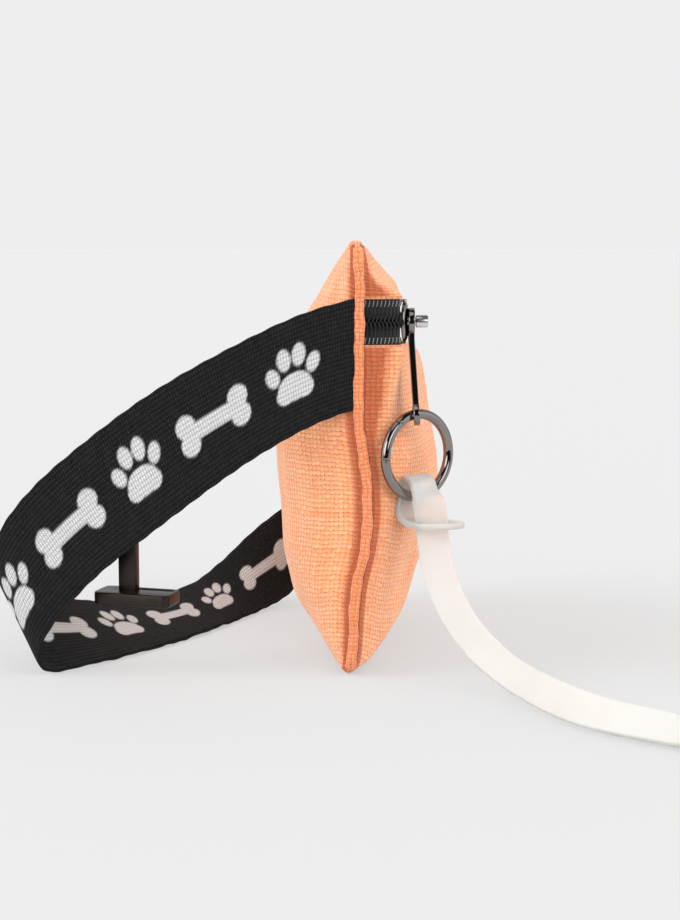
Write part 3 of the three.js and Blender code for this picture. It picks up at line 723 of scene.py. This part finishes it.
def simulate(front, rear):
    """Blows the two panels up as slack cloth held at the seams, and returns how each point moved."""
    rows, columns = front.shape[:2]
    count = rows * columns
    verts = np.concatenate([rear.reshape(-1, 3), front.reshape(-1, 3)])
    faces = np.concatenate([grid_faces(rows, columns), grid_faces(rows, columns, flip=True) + count])
    obj = add_mesh("cloth_sim", verts, faces, LINING)
    rim = np.zeros((rows, columns), bool)
    rim[[0, -1]] = rim[:, [0, -1]] = True
    held = rim.copy()
    held[LOW_COUNT - 1 : HIGH_START + 1] = True
    group = obj.vertex_groups.new(name="held")
    group.add(np.nonzero(np.concatenate([rim.ravel(), held.ravel()]))[0].tolist(), 1.0, "REPLACE")
    cloth = obj.modifiers.new("cloth", "CLOTH")
    for key, value in CLOTH_SETTINGS.items():
        setattr(cloth.settings, key, value)
    cloth.settings.effector_weights.gravity = 0
    cloth.collision_settings.use_collision = False
    cloth.collision_settings.use_self_collision = False
    cloth.point_cache.frame_start = 1
    cloth.point_cache.frame_end = SIM_FRAMES + 2
    scene = bpy.context.scene
    for k in range(SIM_FRAMES):
        scene.frame_set(k + 1)
    bpy.context.view_layer.update()
    moved = points_of(obj.evaluated_get(bpy.context.evaluated_depsgraph_get()).data) - verts
    bpy.data.objects.remove(obj)
    scene.frame_set(1)
    return moved[count:].reshape(front.shape), moved[:count].reshape(rear.shape)


def blur(field, reach):
    """Gaussian blur of a grid field, edges held."""
    k = np.exp(-0.5 * (np.arange(-3 * reach, 3 * reach + 1) / reach) ** 2)
    k /= k.sum()
    for axis in (0, 1):
        margins = [(3 * reach * (a == axis),) * 2 for a in range(field.ndim)]
        padded, span = np.pad(field, margins, "edge"), field.shape[axis]
        field = sum(k[i] * np.take(padded, np.arange(i, i + span), axis) for i in range(len(k)))
    return field


def wrinkles(moved, held_rows):
    """The folds of the simulated cloth without its overall swelling, fading out at the sewn rows."""
    fine = blur(moved, 2) - blur(moved, 10)
    fine *= WRINKLE_DEPTH / (WRINKLE_DEPTH + np.linalg.norm(fine, axis=-1, keepdims=True))
    edge = np.minimum(1, (PANEL_HALF - np.abs(COLUMNS)) / 1.5)[None, :, None]
    rows_off = np.min([np.abs(np.arange(len(ROWS)) - k) for k in held_rows], axis=0)
    return fine * edge * np.clip(rows_off / 5, 0, 1)[:, None, None] ** 1.5


def panel_grids():
    front, rear = panel_form(1), panel_form(-1)
    moved_front, moved_rear = simulate(front, rear)
    front = front + wrinkles(moved_front, [0, LOW_COUNT - 1, HIGH_START, len(ROWS) - 1])
    return front, rear + wrinkles(moved_rear, [0, len(ROWS) - 1])


# ---- pouch: panels, linings, rolled edges ----
def refine(grid):
    """Resamples a grid of points at more rows and columns, smoothly."""
    def up(a, axis):
        a = np.moveaxis(a, axis, 0)
        n = len(a)
        t = np.linspace(0, n - 1, (n - 1) * REFINED + 1)
        i = np.clip(t.astype(int), 0, n - 2)
        f = (t - i).reshape(-1, *([1] * (a.ndim - 1)))
        p0, p1, p2, p3 = a[np.maximum(i - 1, 0)], a[i], a[i + 1], a[np.minimum(i + 2, n - 1)]
        bend = 2 * p0 - 5 * p1 + 4 * p2 - p3 + f * (3 * (p1 - p2) + p3 - p0)
        return np.moveaxis(p1 + 0.5 * f * (p2 - p0 + f * bend), 0, axis)

    return up(up(grid, 0), 1)


def cloth_uv(grid):
    """Flat cloth coordinates of a grid of points: distance along rows and columns, evened out."""
    du = np.linalg.norm(np.diff(grid, axis=1), axis=-1)
    dv = np.linalg.norm(np.diff(grid, axis=0), axis=-1)
    u = np.concatenate([np.zeros((grid.shape[0], 1)), np.cumsum(du, 1)], 1)
    v = np.concatenate([np.zeros((1, grid.shape[1])), np.cumsum(dv, 0)], 0)
    u *= u[:, -1].mean() / np.maximum(u[:, -1:], 1e-6)
    v *= v[-1].mean() / np.maximum(v[-1:], 1e-6)
    return np.stack([u - u[:, -1:] / 2, v], -1).reshape(-1, 2)


def add_cloth(name, grid, material, flip=False, point_values=None):
    """A sheet of cloth from its grid of points."""
    faces = grid_faces(*grid.shape[:2], flip=flip)
    return add_mesh(name, grid.reshape(-1, 3), faces, material, cloth_uv(grid), point_values)


def panel(name, points, flip, node):
    """A canvas panel; its cloth is darker in the seam's groove, a painted shade."""
    fine = refine(points)
    near = from_edge(fine[..., 1], fine[..., 2])
    # painted shade, strongest at the panel's sewn edge
    groove_shade = np.exp(-np.maximum(near - 0.7, 0) / 0.55).ravel()
    obj = place(add_cloth(name, fine, CANVAS, flip, {"groove_shade": groove_shade}), "pouch", node)
    return obj


def lining(name, points, flip, node):
    """Thin liner close behind a panel."""
    grid = points[3:-3:2, 3:-3:2].copy()
    middle = seam_x(grid[..., 2])
    grid[..., 0] = middle + (grid[..., 0] - middle) * 0.84
    return place(add_cloth(name, grid, LINING, flip), "pouch", node)


def rolled_edge(name, points, last_row, inwards):
    """The cloth's folded edge along the zip: a flattened roll just inside the panel's last row."""
    row = even(refine(points)[last_row], 400)
    out = np.pad(outward(row[:, :2]), [(0, 0), (0, 1)])
    path = row - 0.42 * out + [0, 0, inwards]
    section = ellipse(0.5, 0.62, 12)
    # painted shade over the whole roll, tucked under the zip
    groove_shade = np.full(len(path) * len(section), 0.25)
    return place(sweep(name, path, section, out, CANVAS, point_values={"groove_shade": groove_shade}), "pouch")


front_grid, rear_grid = panel_grids()
low_grid, high_grid = front_grid[:LOW_COUNT], front_grid[HIGH_START:]
panel("rear_panel_cloth", rear_grid, False, "rear_panel")
front_lower = panel("front_lower_cloth", low_grid, True, "front_lower_panel")
panel("front_upper_cloth", high_grid, True, "front_upper_panel")
lower_edge = rolled_edge("front_lower_edge", low_grid, -1, -0.15)
rolled_edge("front_upper_edge", high_grid, 0, 0.15)
lining("lining_rear_cloth", rear_grid, False, "lining_rear")
lining_front = lining("lining_front_cloth", low_grid, True, "lining_front")


# ---- seam ridge ----
def edge_line(inset, count=1200):
    """Outline of the pouch's edge, inset from its outside, with round corners and the top's dip."""
    steps = 12
    line = rounded(HALF_WIDTH - inset, HEIGHT / 2 - inset, CORNER_RADIUS, steps) + [0, HEIGHT / 2]
    line = np.roll(line, steps + 1, 0)
    y, z = np.roll(even([*line, line[0]], count + 1)[:-1], -count // 3, 0).T
    upper = np.clip((z - HEIGHT / 2) / (HEIGHT / 2), 0, 1)
    z = z - top_dip(y) * upper**8
    return np.stack([seam_x(z), y, z], 1)


def seam_ridge():
    path = edge_line(SEAM_PROUD / 2)
    base = rounded(SEAM_HALF, SEAM_PROUD / 2, 1.35, 6)
    run = run_length(path)
    wave = 0.12 * np.sin(run / 2.1) + 0.1 * np.sin(run / 5.3 + 1) + 0.08 * np.sin(run / 0.9)
    fat = 1 + 0.06 * np.sin(run / 3.7) + 0.05 * np.sin(run / 1.6 + 2)
    sections = np.repeat(base[None], len(path), 0)
    sections[:, :, 0] = sections[:, :, 0] * fat[:, None] + wave[:, None]
    # painted shade along both sides of the ridge, where it meets the panels
    groove_shade = np.tile(np.clip((np.abs(base[:, 0]) / SEAM_HALF - 0.75) * 3, 0, 1) * 0.6, len(path))
    obj = sweep("seam_ridge", path, sections, (1, 0, 0), SEAM_CANVAS, True, {"groove_shade": groove_shade})
    return place(obj, "pouch", "seam_binding")


seam_ridge()


# ---- zip ----
def tape_plan(out, count):
    """The tapes' line in plan, (x, y), from the near seam to the far one, moved outwards, at even steps."""
    turn = np.linspace(0, np.pi / 2, 24)
    x = ZIP_ROOT + (TAPE_X - ZIP_ROOT) * np.sin(turn)
    y = PANEL_HALF - 0.9 - ZIP_TURN * (1 - np.cos(turn))
    near = np.stack([x, -y], 1)
    plan = even(np.concatenate([near, (near * [1, -1])[::-1]]), count)
    return plan + out * outward(plan)


def zip_tape(name, low, high, node):
    """Tape from height low to height high, as a closed thin band."""
    plan = tape_plan(0, 300)
    z = np.linspace(low, high, 14)
    grid = np.zeros((len(z), len(plan), 3))
    grid[..., :2], grid[..., 2] = plan, z[:, None]
    both = np.concatenate([grid, grid[::-1] - [0.6, 0, 0]])
    faces = grid_faces(*both.shape[:2], looped_rows=True)
    return place(add_mesh(name, both.reshape(-1, 3), faces, TAPE, cloth_uv(both)), "pouch", node)


def heading(line, run, at):
    """Direction of a line in plan at a distance along it, as a level vector."""
    return np.append(unit(resample(line, run, at + 0.1) - resample(line, run, at - 0.1)), 0)


def threads(name, loops, radius, sides, material):
    """One piece of many short round threads: loops are (path, a direction across it) pairs."""
    section = ellipse(radius, radius, sides)
    around = np.arange(sides) * 0.16
    verts, faces, uvs = [], [], []
    for path, across in loops:
        rings = rings_along(path, section[None], np.cross(tangents(path), across))
        faces.append(grid_faces(len(path), sides, False, True) + len(verts) * len(path) * sides)
        verts.append(rings.reshape(-1, 3))
        uvs.append(np.stack(np.broadcast_arrays(path[:, 2:], around[None]), -1).reshape(-1, 2))
    return add_mesh(name, np.concatenate(verts), np.concatenate(faces), material, np.concatenate(uvs))


def coil_row(name, side, node):
    """Nylon coil: one bent loop after another, side -1 below the middle line and 1 above it."""
    line = tape_plan(0.45, 500)
    run = run_length(line)
    turn = np.linspace(-0.5 * np.pi, 1.5 * np.pi, 15)
    along = 0.3 * np.cos(turn) * (1 + 0.3 * np.sin(turn))
    out = 0.4 * (1 + np.sin(turn))
    z = ZIP_Z + side * (1.0 + 1.15 * np.cos(turn))
    first = 1.2 if side < 0 else 1.2 + RIB_PITCH / 2
    loops = []
    for start in np.arange(first, run[-1] - 8.5, RIB_PITCH):
        ahead = heading(line, run, start)
        x, y = resample(line, run, start + along).T
        loops.append((np.stack([x + ahead[1] * out, y - ahead[0] * out, z], 1), ahead))
    return place(threads(name, loops, 0.27, 7, NYLON), "pouch", node)


def edge_stitches(name, low, high):
    """Overlock stitches along a tape's edge: short bent threads in a row, each dipping in at its ends."""
    line = tape_plan(0, 500)
    run = run_length(line)
    lift = np.array([-0.25, 0.14, 0.3, 0.34, 0.3, 0.14, -0.25])
    slant = np.linspace(-0.2, 0.2, len(lift))
    loops = []
    for start in np.arange(0.7, run[-1] - 0.7, RIB_PITCH):
        ahead = heading(line, run, start)
        out = np.array([ahead[1], -ahead[0], 0])
        path = np.outer(lift, out) + np.outer(slant, ahead)
        path[:, :2] += resample(line, run, start)
        path[:, 2] += np.linspace(low, high, len(lift))
        loops.append((path, out))
    return place(threads(name, loops, 0.2, 8, THREAD), "pouch")


tape_low = zip_tape("zip_tape_lower_cloth", ZIP_Z - ZIP_HALF - 1.6, ZIP_Z - 0.8, "zip_tape_lower")
zip_tape("zip_tape_upper_cloth", ZIP_Z + 0.8, ZIP_Z + ZIP_HALF + 1.2, "zip_tape_upper")
coil_low = coil_row("zip_coil_lower_loops", -1, "zip_coil_lower")
coil_row("zip_coil_upper_loops", 1, "zip_coil_upper")
stitches_low = edge_stitches("zip_stitches_lower", ZIP_Z - 7.4, ZIP_Z - 5.2)
edge_stitches("zip_stitches_upper", ZIP_Z + 5.2, ZIP_Z + 7.4)
stop_far = bevelled("zip_stop_far_clip", rounded(1.2, 3.0, 0.6) + [58.6, ZIP_Z], 17.1, 18.4, GUNMETAL, 0.25)
place(stop_far, "pouch", "zip_stop_far")
for slack in (front_lower, lining_front, lower_edge, tape_low, coil_low, stitches_low):
    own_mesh(slack)


# ---- slider, pin, pull ----
def pebble(name, x0, x1, half_y, half_z):
    """Domed oval cap with a round rim, flat behind, centred on the slider."""
    profile = [
        (0, 0.01), (0, 0.86), (0.08, 0.95), (0.3, 1.0), (0.45, 0.995), (0.66, 0.95), (0.82, 0.86),
        (0.92, 0.72), (0.98, 0.5), (1.0, 0.25), (1.0, 0.01),
    ]
    oval = ellipse(half_y, half_z)
    verts = [
        (x0 + (x1 - x0) * along, SLIDER_Y + r * y, ZIP_Z + r * z) for along, r in profile for y, z in oval
    ]
    return finish_hard(add_mesh(name, verts, tube_faces(len(profile), len(oval)), GUNMETAL))


def slider():
    """Front cap and back plate on a web, with two lips round the zip, turned a little to the near side."""
    def plate(name, half_y, half_z, r, z, x0, x1, bevel, steps=5):
        outline = rounded(half_y, half_z, r, steps) + [SLIDER_Y, z]
        return bevelled(name, outline, x0, x1, GUNMETAL, bevel)

    parts = [
        pebble("slider_front", 17.6, 19.3, 4.6, 7.0),
        plate("slider_back", 4.3, 7.9, 3.9, ZIP_Z, 15.1, 15.9, 0.25, 8),
        plate("slider_web", 2.4, 0.5, 0.3, ZIP_Z, 15.4, 18.6, 0.1),
        plate("slider_lip_low", 2.6, 0.5, 0.3, ZIP_Z - 7.1, 17.15, 18.6, 0.15),
        plate("slider_lip_high", 2.6, 0.5, 0.3, ZIP_Z + 7.1, 17.15, 18.6, 0.15),
    ]
    shell = join("slider_shell", parts)
    pivot_x, yaw = 17.1, math.radians(-12)

    def turned(p):
        x, y = p[:, 0] - pivot_x, p[:, 1] - SLIDER_Y
        along, across = x * math.cos(yaw) - y * math.sin(yaw), x * math.sin(yaw) + y * math.cos(yaw)
        return np.stack([pivot_x + along, SLIDER_Y + across, p[:, 2]], 1)

    move_points(shell.data, turned)
    place(shell, "slider", "slider_body")


def pull_pin():
    profile = [
        (19.2, 0.01), (19.2, 1.4), (22.0, 1.4), (22.0, 2.0), (22.2, 2.2), (25.6, 2.25), (26.05, 2.05),
        (26.2, 1.7), (26.2, 0.01),
    ]
    obj = lathe("pull_pin_knob", profile, (0, SLIDER_Y, ZIP_Z), (1, 0, 0), PIN_STEEL, 56)
    place(obj, "slider", "pull_pin")


def pull_outline():
    """A round head above, a long oval eye round the ring's wire below, with straight sides between them."""
    head = 4.6
    top = [(SLIDER_Y + head * math.sin(a), ZIP_Z + head * math.cos(a)) for a in np.linspace(-2.6, 2.6, 40)]
    middle = EYE_Z + 0.2
    drop = middle - (EYE_Z - WIRE_RADIUS - 2.3)
    turns = np.linspace(-0.30 * np.pi, 1.30 * np.pi, 44)
    return top + [(SLIDER_Y + 5.2 * math.cos(a), middle - drop * math.sin(a)) for a in turns]


def pull_bar():
    holes = [
        ellipse(1.75, 1.75, 31, (SLIDER_Y, ZIP_Z)),
        ellipse(4.2, 2.5, 39, (SLIDER_Y, EYE_Z + 0.35)),
    ]
    obj = bevelled("pull_bar_plate", pull_outline(), 19.42, 21.58, GUNMETAL, 0.4, holes)
    bend_z = ZIP_Z - 6
    with editing(obj) as bm:
        for z in (bend_z, bend_z - 3, 108, 100, 96):
            geom = bm.verts[:] + bm.edges[:] + bm.faces[:]
            bmesh.ops.bisect_plane(bm, geom=geom, plane_co=(0, 0, z * MM), plane_no=(0, 0, 1))

    def leaning(p):
        """The bar bends outwards below its head."""
        return p + np.outer(np.maximum(0, bend_z - p[:, 2]) * 0.07, [1, 0, 0])

    move_points(obj.data, leaning)
    place(finish_hard(obj), "pull", "pull_bar")


slider()
pull_pin()
pull_bar()


# ---- spring-gate ring ----
RING_ALONG = np.array([math.cos(RING_YAW), math.sin(RING_YAW), 0])
RING_AXIS = np.array([math.sin(RING_YAW), -math.cos(RING_YAW), 0])
UP = np.array([0, 0, 1])


def ring_point(radians, radius):
    return RING_CENTRE + radius * (np.outer(np.cos(radians), RING_ALONG) + np.outer(np.sin(radians), UP))


def eased(start, end, near, count):
    """Angles from start to end, closer together at both ends."""
    near = np.array([0, *near])
    inner = near[-1] + 1
    return np.concatenate([start + near, np.linspace(start + inner, end - inner, count), end - near[::-1]])


def wire(name, degrees, slanted_end):
    """Round wire through the given angles, with eased ends; the joint at slanted_end leans outwards."""
    ends = np.minimum(degrees - degrees[0], degrees[-1] - degrees)
    shrink = 1 - 0.1 * np.clip(1 - ends, 0, 1) ** 2
    section = ellipse(WIRE_RADIUS, WIRE_RADIUS, 40)
    verts = []
    for angle, scale in zip(degrees, shrink):
        out, across = (section * scale).T
        slant = 2.1 * np.clip(1 - abs(angle - slanted_end) / 14, 0, 1)
        points = ring_point(np.radians(angle + slant * out), (RING_RADIUS + out)[:, None])
        verts.append(points + np.outer(across, RING_AXIS))
    faces = tube_faces(len(degrees), len(section))
    return finish_hard(add_mesh(name, np.concatenate(verts), faces, GUNMETAL))


def ring():
    end = 360 + GATE_START - GATE_GAP
    body = wire("ring_body_wire", eased(GATE_END + 1, end, (0.5, 1), 150), end)
    place(body, "ring", "ring_body")
    start = GATE_START + GATE_GAP
    gate = wire("ring_gate_wire", eased(start, GATE_END, (0.5,), 40), start)
    place(gate, "gate", "ring_gate")
    half_profile = [(1.55, 0.01), (1.55, 0.3), (1.62, 0.38), (1.62, 0.62), (1.5, 0.74)]
    profile = [(-along, radius) for along, radius in half_profile] + half_profile[::-1]
    pivot = ring_point(np.radians([167.0]), 13.4)[0]
    pin = lathe("ring_gate_pin_head", profile, pivot, RING_AXIS, PIN_STEEL, 32)
    place(pin, "ring", "ring_gate_pin")


ring()


# ---- hand strap ----
SIDE = 2.0 - HALF_WIDTH
STRAP_LOWER = [
    (0.9, SIDE - 0.4, 92.7), (-11.3, SIDE - 0.6, 88.3), (-31.4, SIDE - 1.0, 77.3),
    (-51.7, SIDE - 1.0, 63.2), (-74.1, SIDE - 1.0, 46.2), (-86.5, SIDE - 1.0, 36.3),
    (-99.0, SIDE - 1.2, 23.4), (-107.6, SIDE - 1.2, 9.6), (-106.6, -64.8, 1.6), (-98.0, -58.8, 0.9),
    (-82.0, -41.0, 0.9), (-60.0, -9.0, 0.9), (-43.0, 24.0, 0.9), (-32.0, 46.0, 1.3), (-22.5, 60.5, 6.2),
    (-13.0, 68.0, 25.0), (-6.2, 69.4, 50.0), (-1.2, 68.0, 75.0), (0.9, -SIDE, 92.7),
]
STRAP_UPPER = [
    (0.9, SIDE - 0.4, 130.4), (-17.0, SIDE - 0.6, 125.2), (-44.4, SIDE - 1.0, 112.2),
    (-70.6, SIDE - 1.0, 96.9), (-95.8, SIDE - 1.0, 78.0), (-108.8, SIDE - 0.8, 66.4),
    (-120.4, SIDE + 0.6, 51.6), (-125.0, -59.4, 37.8), (-121.0, -48.6, 29.8), (-113.2, -37.2, 22.6),
    (-100.6, -18.8, 16.4), (-72.0, 23.6, 10.6), (-52.6, 54.0, 18.4), (-36.0, 65.6, 32.6),
    (-24.6, 71.0, 41.8), (-17.0, 72.4, 62.4), (-11.0, 71.6, 87.4), (-4.0, 69.4, 112.4),
    (0.9, -SIDE, 130.4),
]
STRAP_HALF_THICK = 0.75
STRAP_HALF_WIDE = 19.0


def paw(u, v):
    """Signed distance, in mm, to a generic paw print about 20 mm tall."""
    def blob(cx, cy, a, b, turn=0.0):
        c, s = math.cos(turn), math.sin(turn)
        x, y = (u - cx) * c + (v - cy) * s, -(u - cx) * s + (v - cy) * c
        return (np.hypot(x / a, y / b) - 1) * min(a, b)

    return np.minimum.reduce([
        blob(0, -3.4, 6.2, 4.6), blob(-3.6, -5.0, 3.4, 3.2), blob(3.6, -5.0, 3.4, 3.2),
        blob(-7.4, 2.2, 2.3, 3.3, 0.35), blob(-2.7, 6.4, 2.4, 3.7, 0.1),
        blob(2.7, 6.4, 2.4, 3.7, -0.1), blob(7.4, 2.2, 2.3, 3.3, -0.35),
    ])


def bone(u, v):
    """Signed distance, in mm, to a generic bone outline 26 mm long."""
    bar = np.maximum(np.abs(u) - 9.5, np.abs(v) - 2.7)
    knobs = [np.hypot(u - sx * 10.2, v - sy * 3.0) - 3.7 for sx in (-1, 1) for sy in (-1, 1)]
    return np.minimum.reduce([bar, *knobs])


def printed(u, v):
    """Ink cover at a place on the cloth, u along and v across: paws and bones in turn down the strap."""
    ink = np.zeros_like(u)
    first, last, pitch, soft = 22.0, 470.0, 31.0, 0.5
    for k, at in enumerate(np.arange(first, last, pitch)):
        shape = bone if k % 2 else paw
        ink = np.maximum(ink, np.clip(0.5 - shape(u - at, v) / soft, 0, 1))
    return ink


def hand_strap():
    """Webbing as one closed tube: the outer face, rippled at its edges, and the inner face behind it."""
    low, high = spline(STRAP_LOWER, 1400), spline(STRAP_UPPER, 1400)
    run = run_length((low + high) / 2)
    x = np.linspace(0, run[-1], 700)
    low, high = resample(low, run, x), resample(high, run, x)
    middle, half = (low + high) / 2, np.linalg.norm(high - low, axis=1) / 2
    across = unit(high - low)
    normal = unit(np.cross(tangents(middle), across))
    fraction = np.linspace(-1, 1, 66)
    edge = np.abs(fraction) ** 12
    ripple = 0.22 * np.sin(x / 3.1) + 0.16 * np.sin(x / 7.7 + 0.6) + 0.1 * np.sin(x / 1.7)
    scallop = 0.12 * np.sin(x / 1.3)
    sideways = np.outer(half, fraction) + np.outer(scallop, edge * np.sign(fraction))
    sheet = middle[:, None] + sideways[..., None] * across[:, None]
    sheet = sheet + np.outer(ripple, edge)[..., None] * normal[:, None]
    thick = STRAP_HALF_THICK * (1 - 0.35 * np.abs(fraction) ** 24)
    lift = normal[:, None] * thick[None, :, None]
    around = np.concatenate([sheet + lift, (sheet - lift)[:, ::-1]], 1)
    rows, sides = around.shape[:2]
    v = fraction * STRAP_HALF_WIDE
    back_shift = 60.95
    uv = np.stack(np.broadcast_arrays(x[:, None], np.append(v, v[::-1] + back_shift)[None]), -1)
    ink = printed(*np.meshgrid(x, v, indexing="ij"))
    ink = np.concatenate([ink, ink[:, ::-1]], 1)
    obj = add_mesh("hand_strap_webbing", around.reshape(-1, 3), tube_faces(rows, sides), WEBBING,
                   uv.reshape(-1, 2), {"print": ink.ravel()})
    with editing(obj) as bm:
        bmesh.ops.recalc_face_normals(bm, faces=bm.faces)
    place(obj, "pouch", "hand_strap")


hand_strap()


# ---- T-bar toggle ----
TOGGLE_X, TOGGLE_Y = -78.2, -54.0
PIVOT_X, PIVOT_Z = -76.9, 66.0
TOGGLE_YAW = math.radians(-17)
FOOT_Z = 25.6
FOOT_HALF_LENGTH, FOOT_HALF_DEPTH, FOOT_HALF_THICK = 14.2, 6.5, 2.2
FOOT_SHIFT = 3.0


def toggle():
    """A foot with a slot at its back, a flat stem, and a ring-shaped head on the bracket's post."""
    def upright(y):
        """Stands a lying plate upright at the toggle's place, turned by its yaw."""
        c, s = math.cos(TOGGLE_YAW), math.sin(TOGGLE_YAW)
        return lambda p: np.stack(
            [TOGGLE_X + c * p[:, 1] - s * p[:, 2], y + s * p[:, 1] + c * p[:, 2], p[:, 0]], 1
        )

    half, deep = FOOT_HALF_LENGTH, FOOT_HALF_DEPTH
    outline = rounded(half, deep, 2.4, 8) + [FOOT_SHIFT, 0]
    slot = rounded((half - 1.2) / 2, 1.1, 1.05, 6) + [FOOT_SHIFT + half / 2 - 1.2, deep - 3.1]
    foot = bevelled("toggle_foot", outline, FOOT_Z - FOOT_HALF_THICK, FOOT_Z + FOOT_HALF_THICK, DARK_METAL,
                    0.5, [slot], upright(TOGGLE_Y - 0.2))
    stem = bevelled("toggle_stem", rounded(3.4, 1.7, 0.6, 4), FOOT_Z + 1.2, PIVOT_Z - 1.5, DARK_METAL,
                    0.3, to_world=upright(TOGGLE_Y))
    profile = [(-1.9, 1.9), (-1.9, 4.0), (-1.5, 4.4), (1.5, 4.4), (1.9, 4.0), (1.9, 1.9)]
    head = lathe("toggle_head", profile, (PIVOT_X, TOGGLE_Y, PIVOT_Z), (0, 1, 0), DARK_METAL, hollow=True)
    place(join("toggle_bar_metal", [foot, stem, head]), "toggle", "toggle_bar")


def bracket():
    """Plate on the strap's inner face, with the post that the toggle turns on."""
    inner = SIDE + 0.05

    def stand(p):
        return np.stack([p[:, 1] + PIVOT_X, p[:, 0] + inner, p[:, 2] + PIVOT_Z + 2], 1)

    plate = bevelled("bracket_plate", rounded(6, 7, 2.2, 6), 0, 1.4, DARK_METAL, 0.35, to_world=stand)
    profile = [
        (inner + 1.0, 0.01), (inner + 1.0, 2.4), (inner + 2.0, 1.6),
        (TOGGLE_Y + 3.2, 1.6), (TOGGLE_Y + 3.4, 1.4), (TOGGLE_Y + 3.4, 0.01),
    ]
    post = lathe("bracket_post", profile, (PIVOT_X, 0, PIVOT_Z), (0, 1, 0), DARK_METAL)
    place(join("toggle_bracket_plate", [plate, post]), "pouch", "toggle_bracket")


def washer():
    profile = [(2.5, 1.9), (2.5, 2.9), (2.65, 3.0), (3.1, 3.0), (3.25, 2.9), (3.25, 1.9)]
    obj = lathe("toggle_washer_ring", profile, (PIVOT_X, TOGGLE_Y, PIVOT_Z), (0, 1, 0), GUNMETAL, hollow=True)
    place(obj, "pouch", "toggle_washer")


toggle()
bracket()
washer()


# ---- stage: pale floor and soft studio light ----
def floor():
    near, far = -0.42, 30.0
    mesh = bpy.data.meshes.new("floor")
    mesh.from_pydata([(-far, near, 0), (far, near, 0), (far, far, 0), (-far, far, 0)], [], [(0, 1, 2, 3)])
    mesh.materials.append(Shader("floor").set(
        Base_Color=(0.2, 0.2, 0.2, 1), Roughness=0.9, Specular_IOR_Level=0.1,
        Emission_Color=(1, 1, 1, 1), Emission_Strength=0.472,
    ))
    add_object("floor", mesh)


def sun(name, toward, strength, angle):
    """Soft distant light from the direction toward."""
    light = bpy.data.lights.new(name, "SUN")
    light.energy = strength
    light.angle = math.radians(angle)
    obj = add_object(name, light)
    obj.rotation_euler = Vector(toward).to_track_quat("Z", "Y").to_euler()
    obj.visible_glossy = False


def studio():
    """Pale surround, seen by the camera as one flat tone; shiny surfaces see soft boxes in a dim room."""
    world = bpy.data.worlds.new("studio")
    bpy.context.scene.world = world
    world.use_nodes = True
    tree = Tree(world.node_tree)
    direction = tree.coordinates("Generated")

    def box(x, y, z, start, end, bright):
        """Glow in one direction, from nothing at cosine start to bright at cosine end."""
        inputs = {0: direction, 1: Vector((x, y, z)).normalized()}
        cosine = tree.node("VectorMath", inputs, "Value", operation="DOT_PRODUCT")
        return tree.remap(cosine, start, end, 0.0, bright, interpolation_type="SMOOTHSTEP")

    def background(colour):
        return tree.node("Background", {0: colour})

    def choose(ray, otherwise, seen):
        is_ray = tree.node("LightPath", {}, ray)
        return tree.node("MixShader", {0: is_ray, 1: otherwise, 2: seen})

    left_box, right_box = box(-0.85, -0.3, 0.4, 0.84, 0.92, 1.5), box(0.95, -0.1, 0.3, 0.86, 0.93, 1.1)
    top_box, back_box = box(-0.1, -0.35, 1.0, 0.93, 0.97, 1.0), box(0.0, 1.0, 0.1, 0.35, 0.7, 0.62)
    small_boxes = box(-0.5, -0.8, 0.25, 0.955, 0.975, 3.2) + box(0.55, -0.75, 0.3, 0.955, 0.975, 2.6)
    shiny = left_box + right_box + top_box + back_box + small_boxes + 0.02
    sides = box(-1.0, 0.35, 0.25, 0.2, 0.95, 1.0) + box(1.0, 0.35, 0.2, 0.3, 0.95, 0.8)
    diffuse = sides + box(0.0, 0.9, 0.4, 0.0, 1.0, 0.35) + AMBIENT
    room = choose("Is Glossy Ray", background(diffuse), background(shiny))
    seen = choose("Is Camera Ray", room, background((0.855, 0.855, 0.855, 1)))
    tree.put(tree.nodes["World Output"].inputs[0], seen)


floor()
studio()
sun("key", (-0.85, -0.12, 0.6), 1.95, 40)
sun("front_fill", (-0.1, -0.9, 0.35), 1.2, 70)
sun("right_fill", (0.85, -0.35, 0.55), 1.65, 60)
bpy.context.scene.view_settings.view_transform = "Standard"
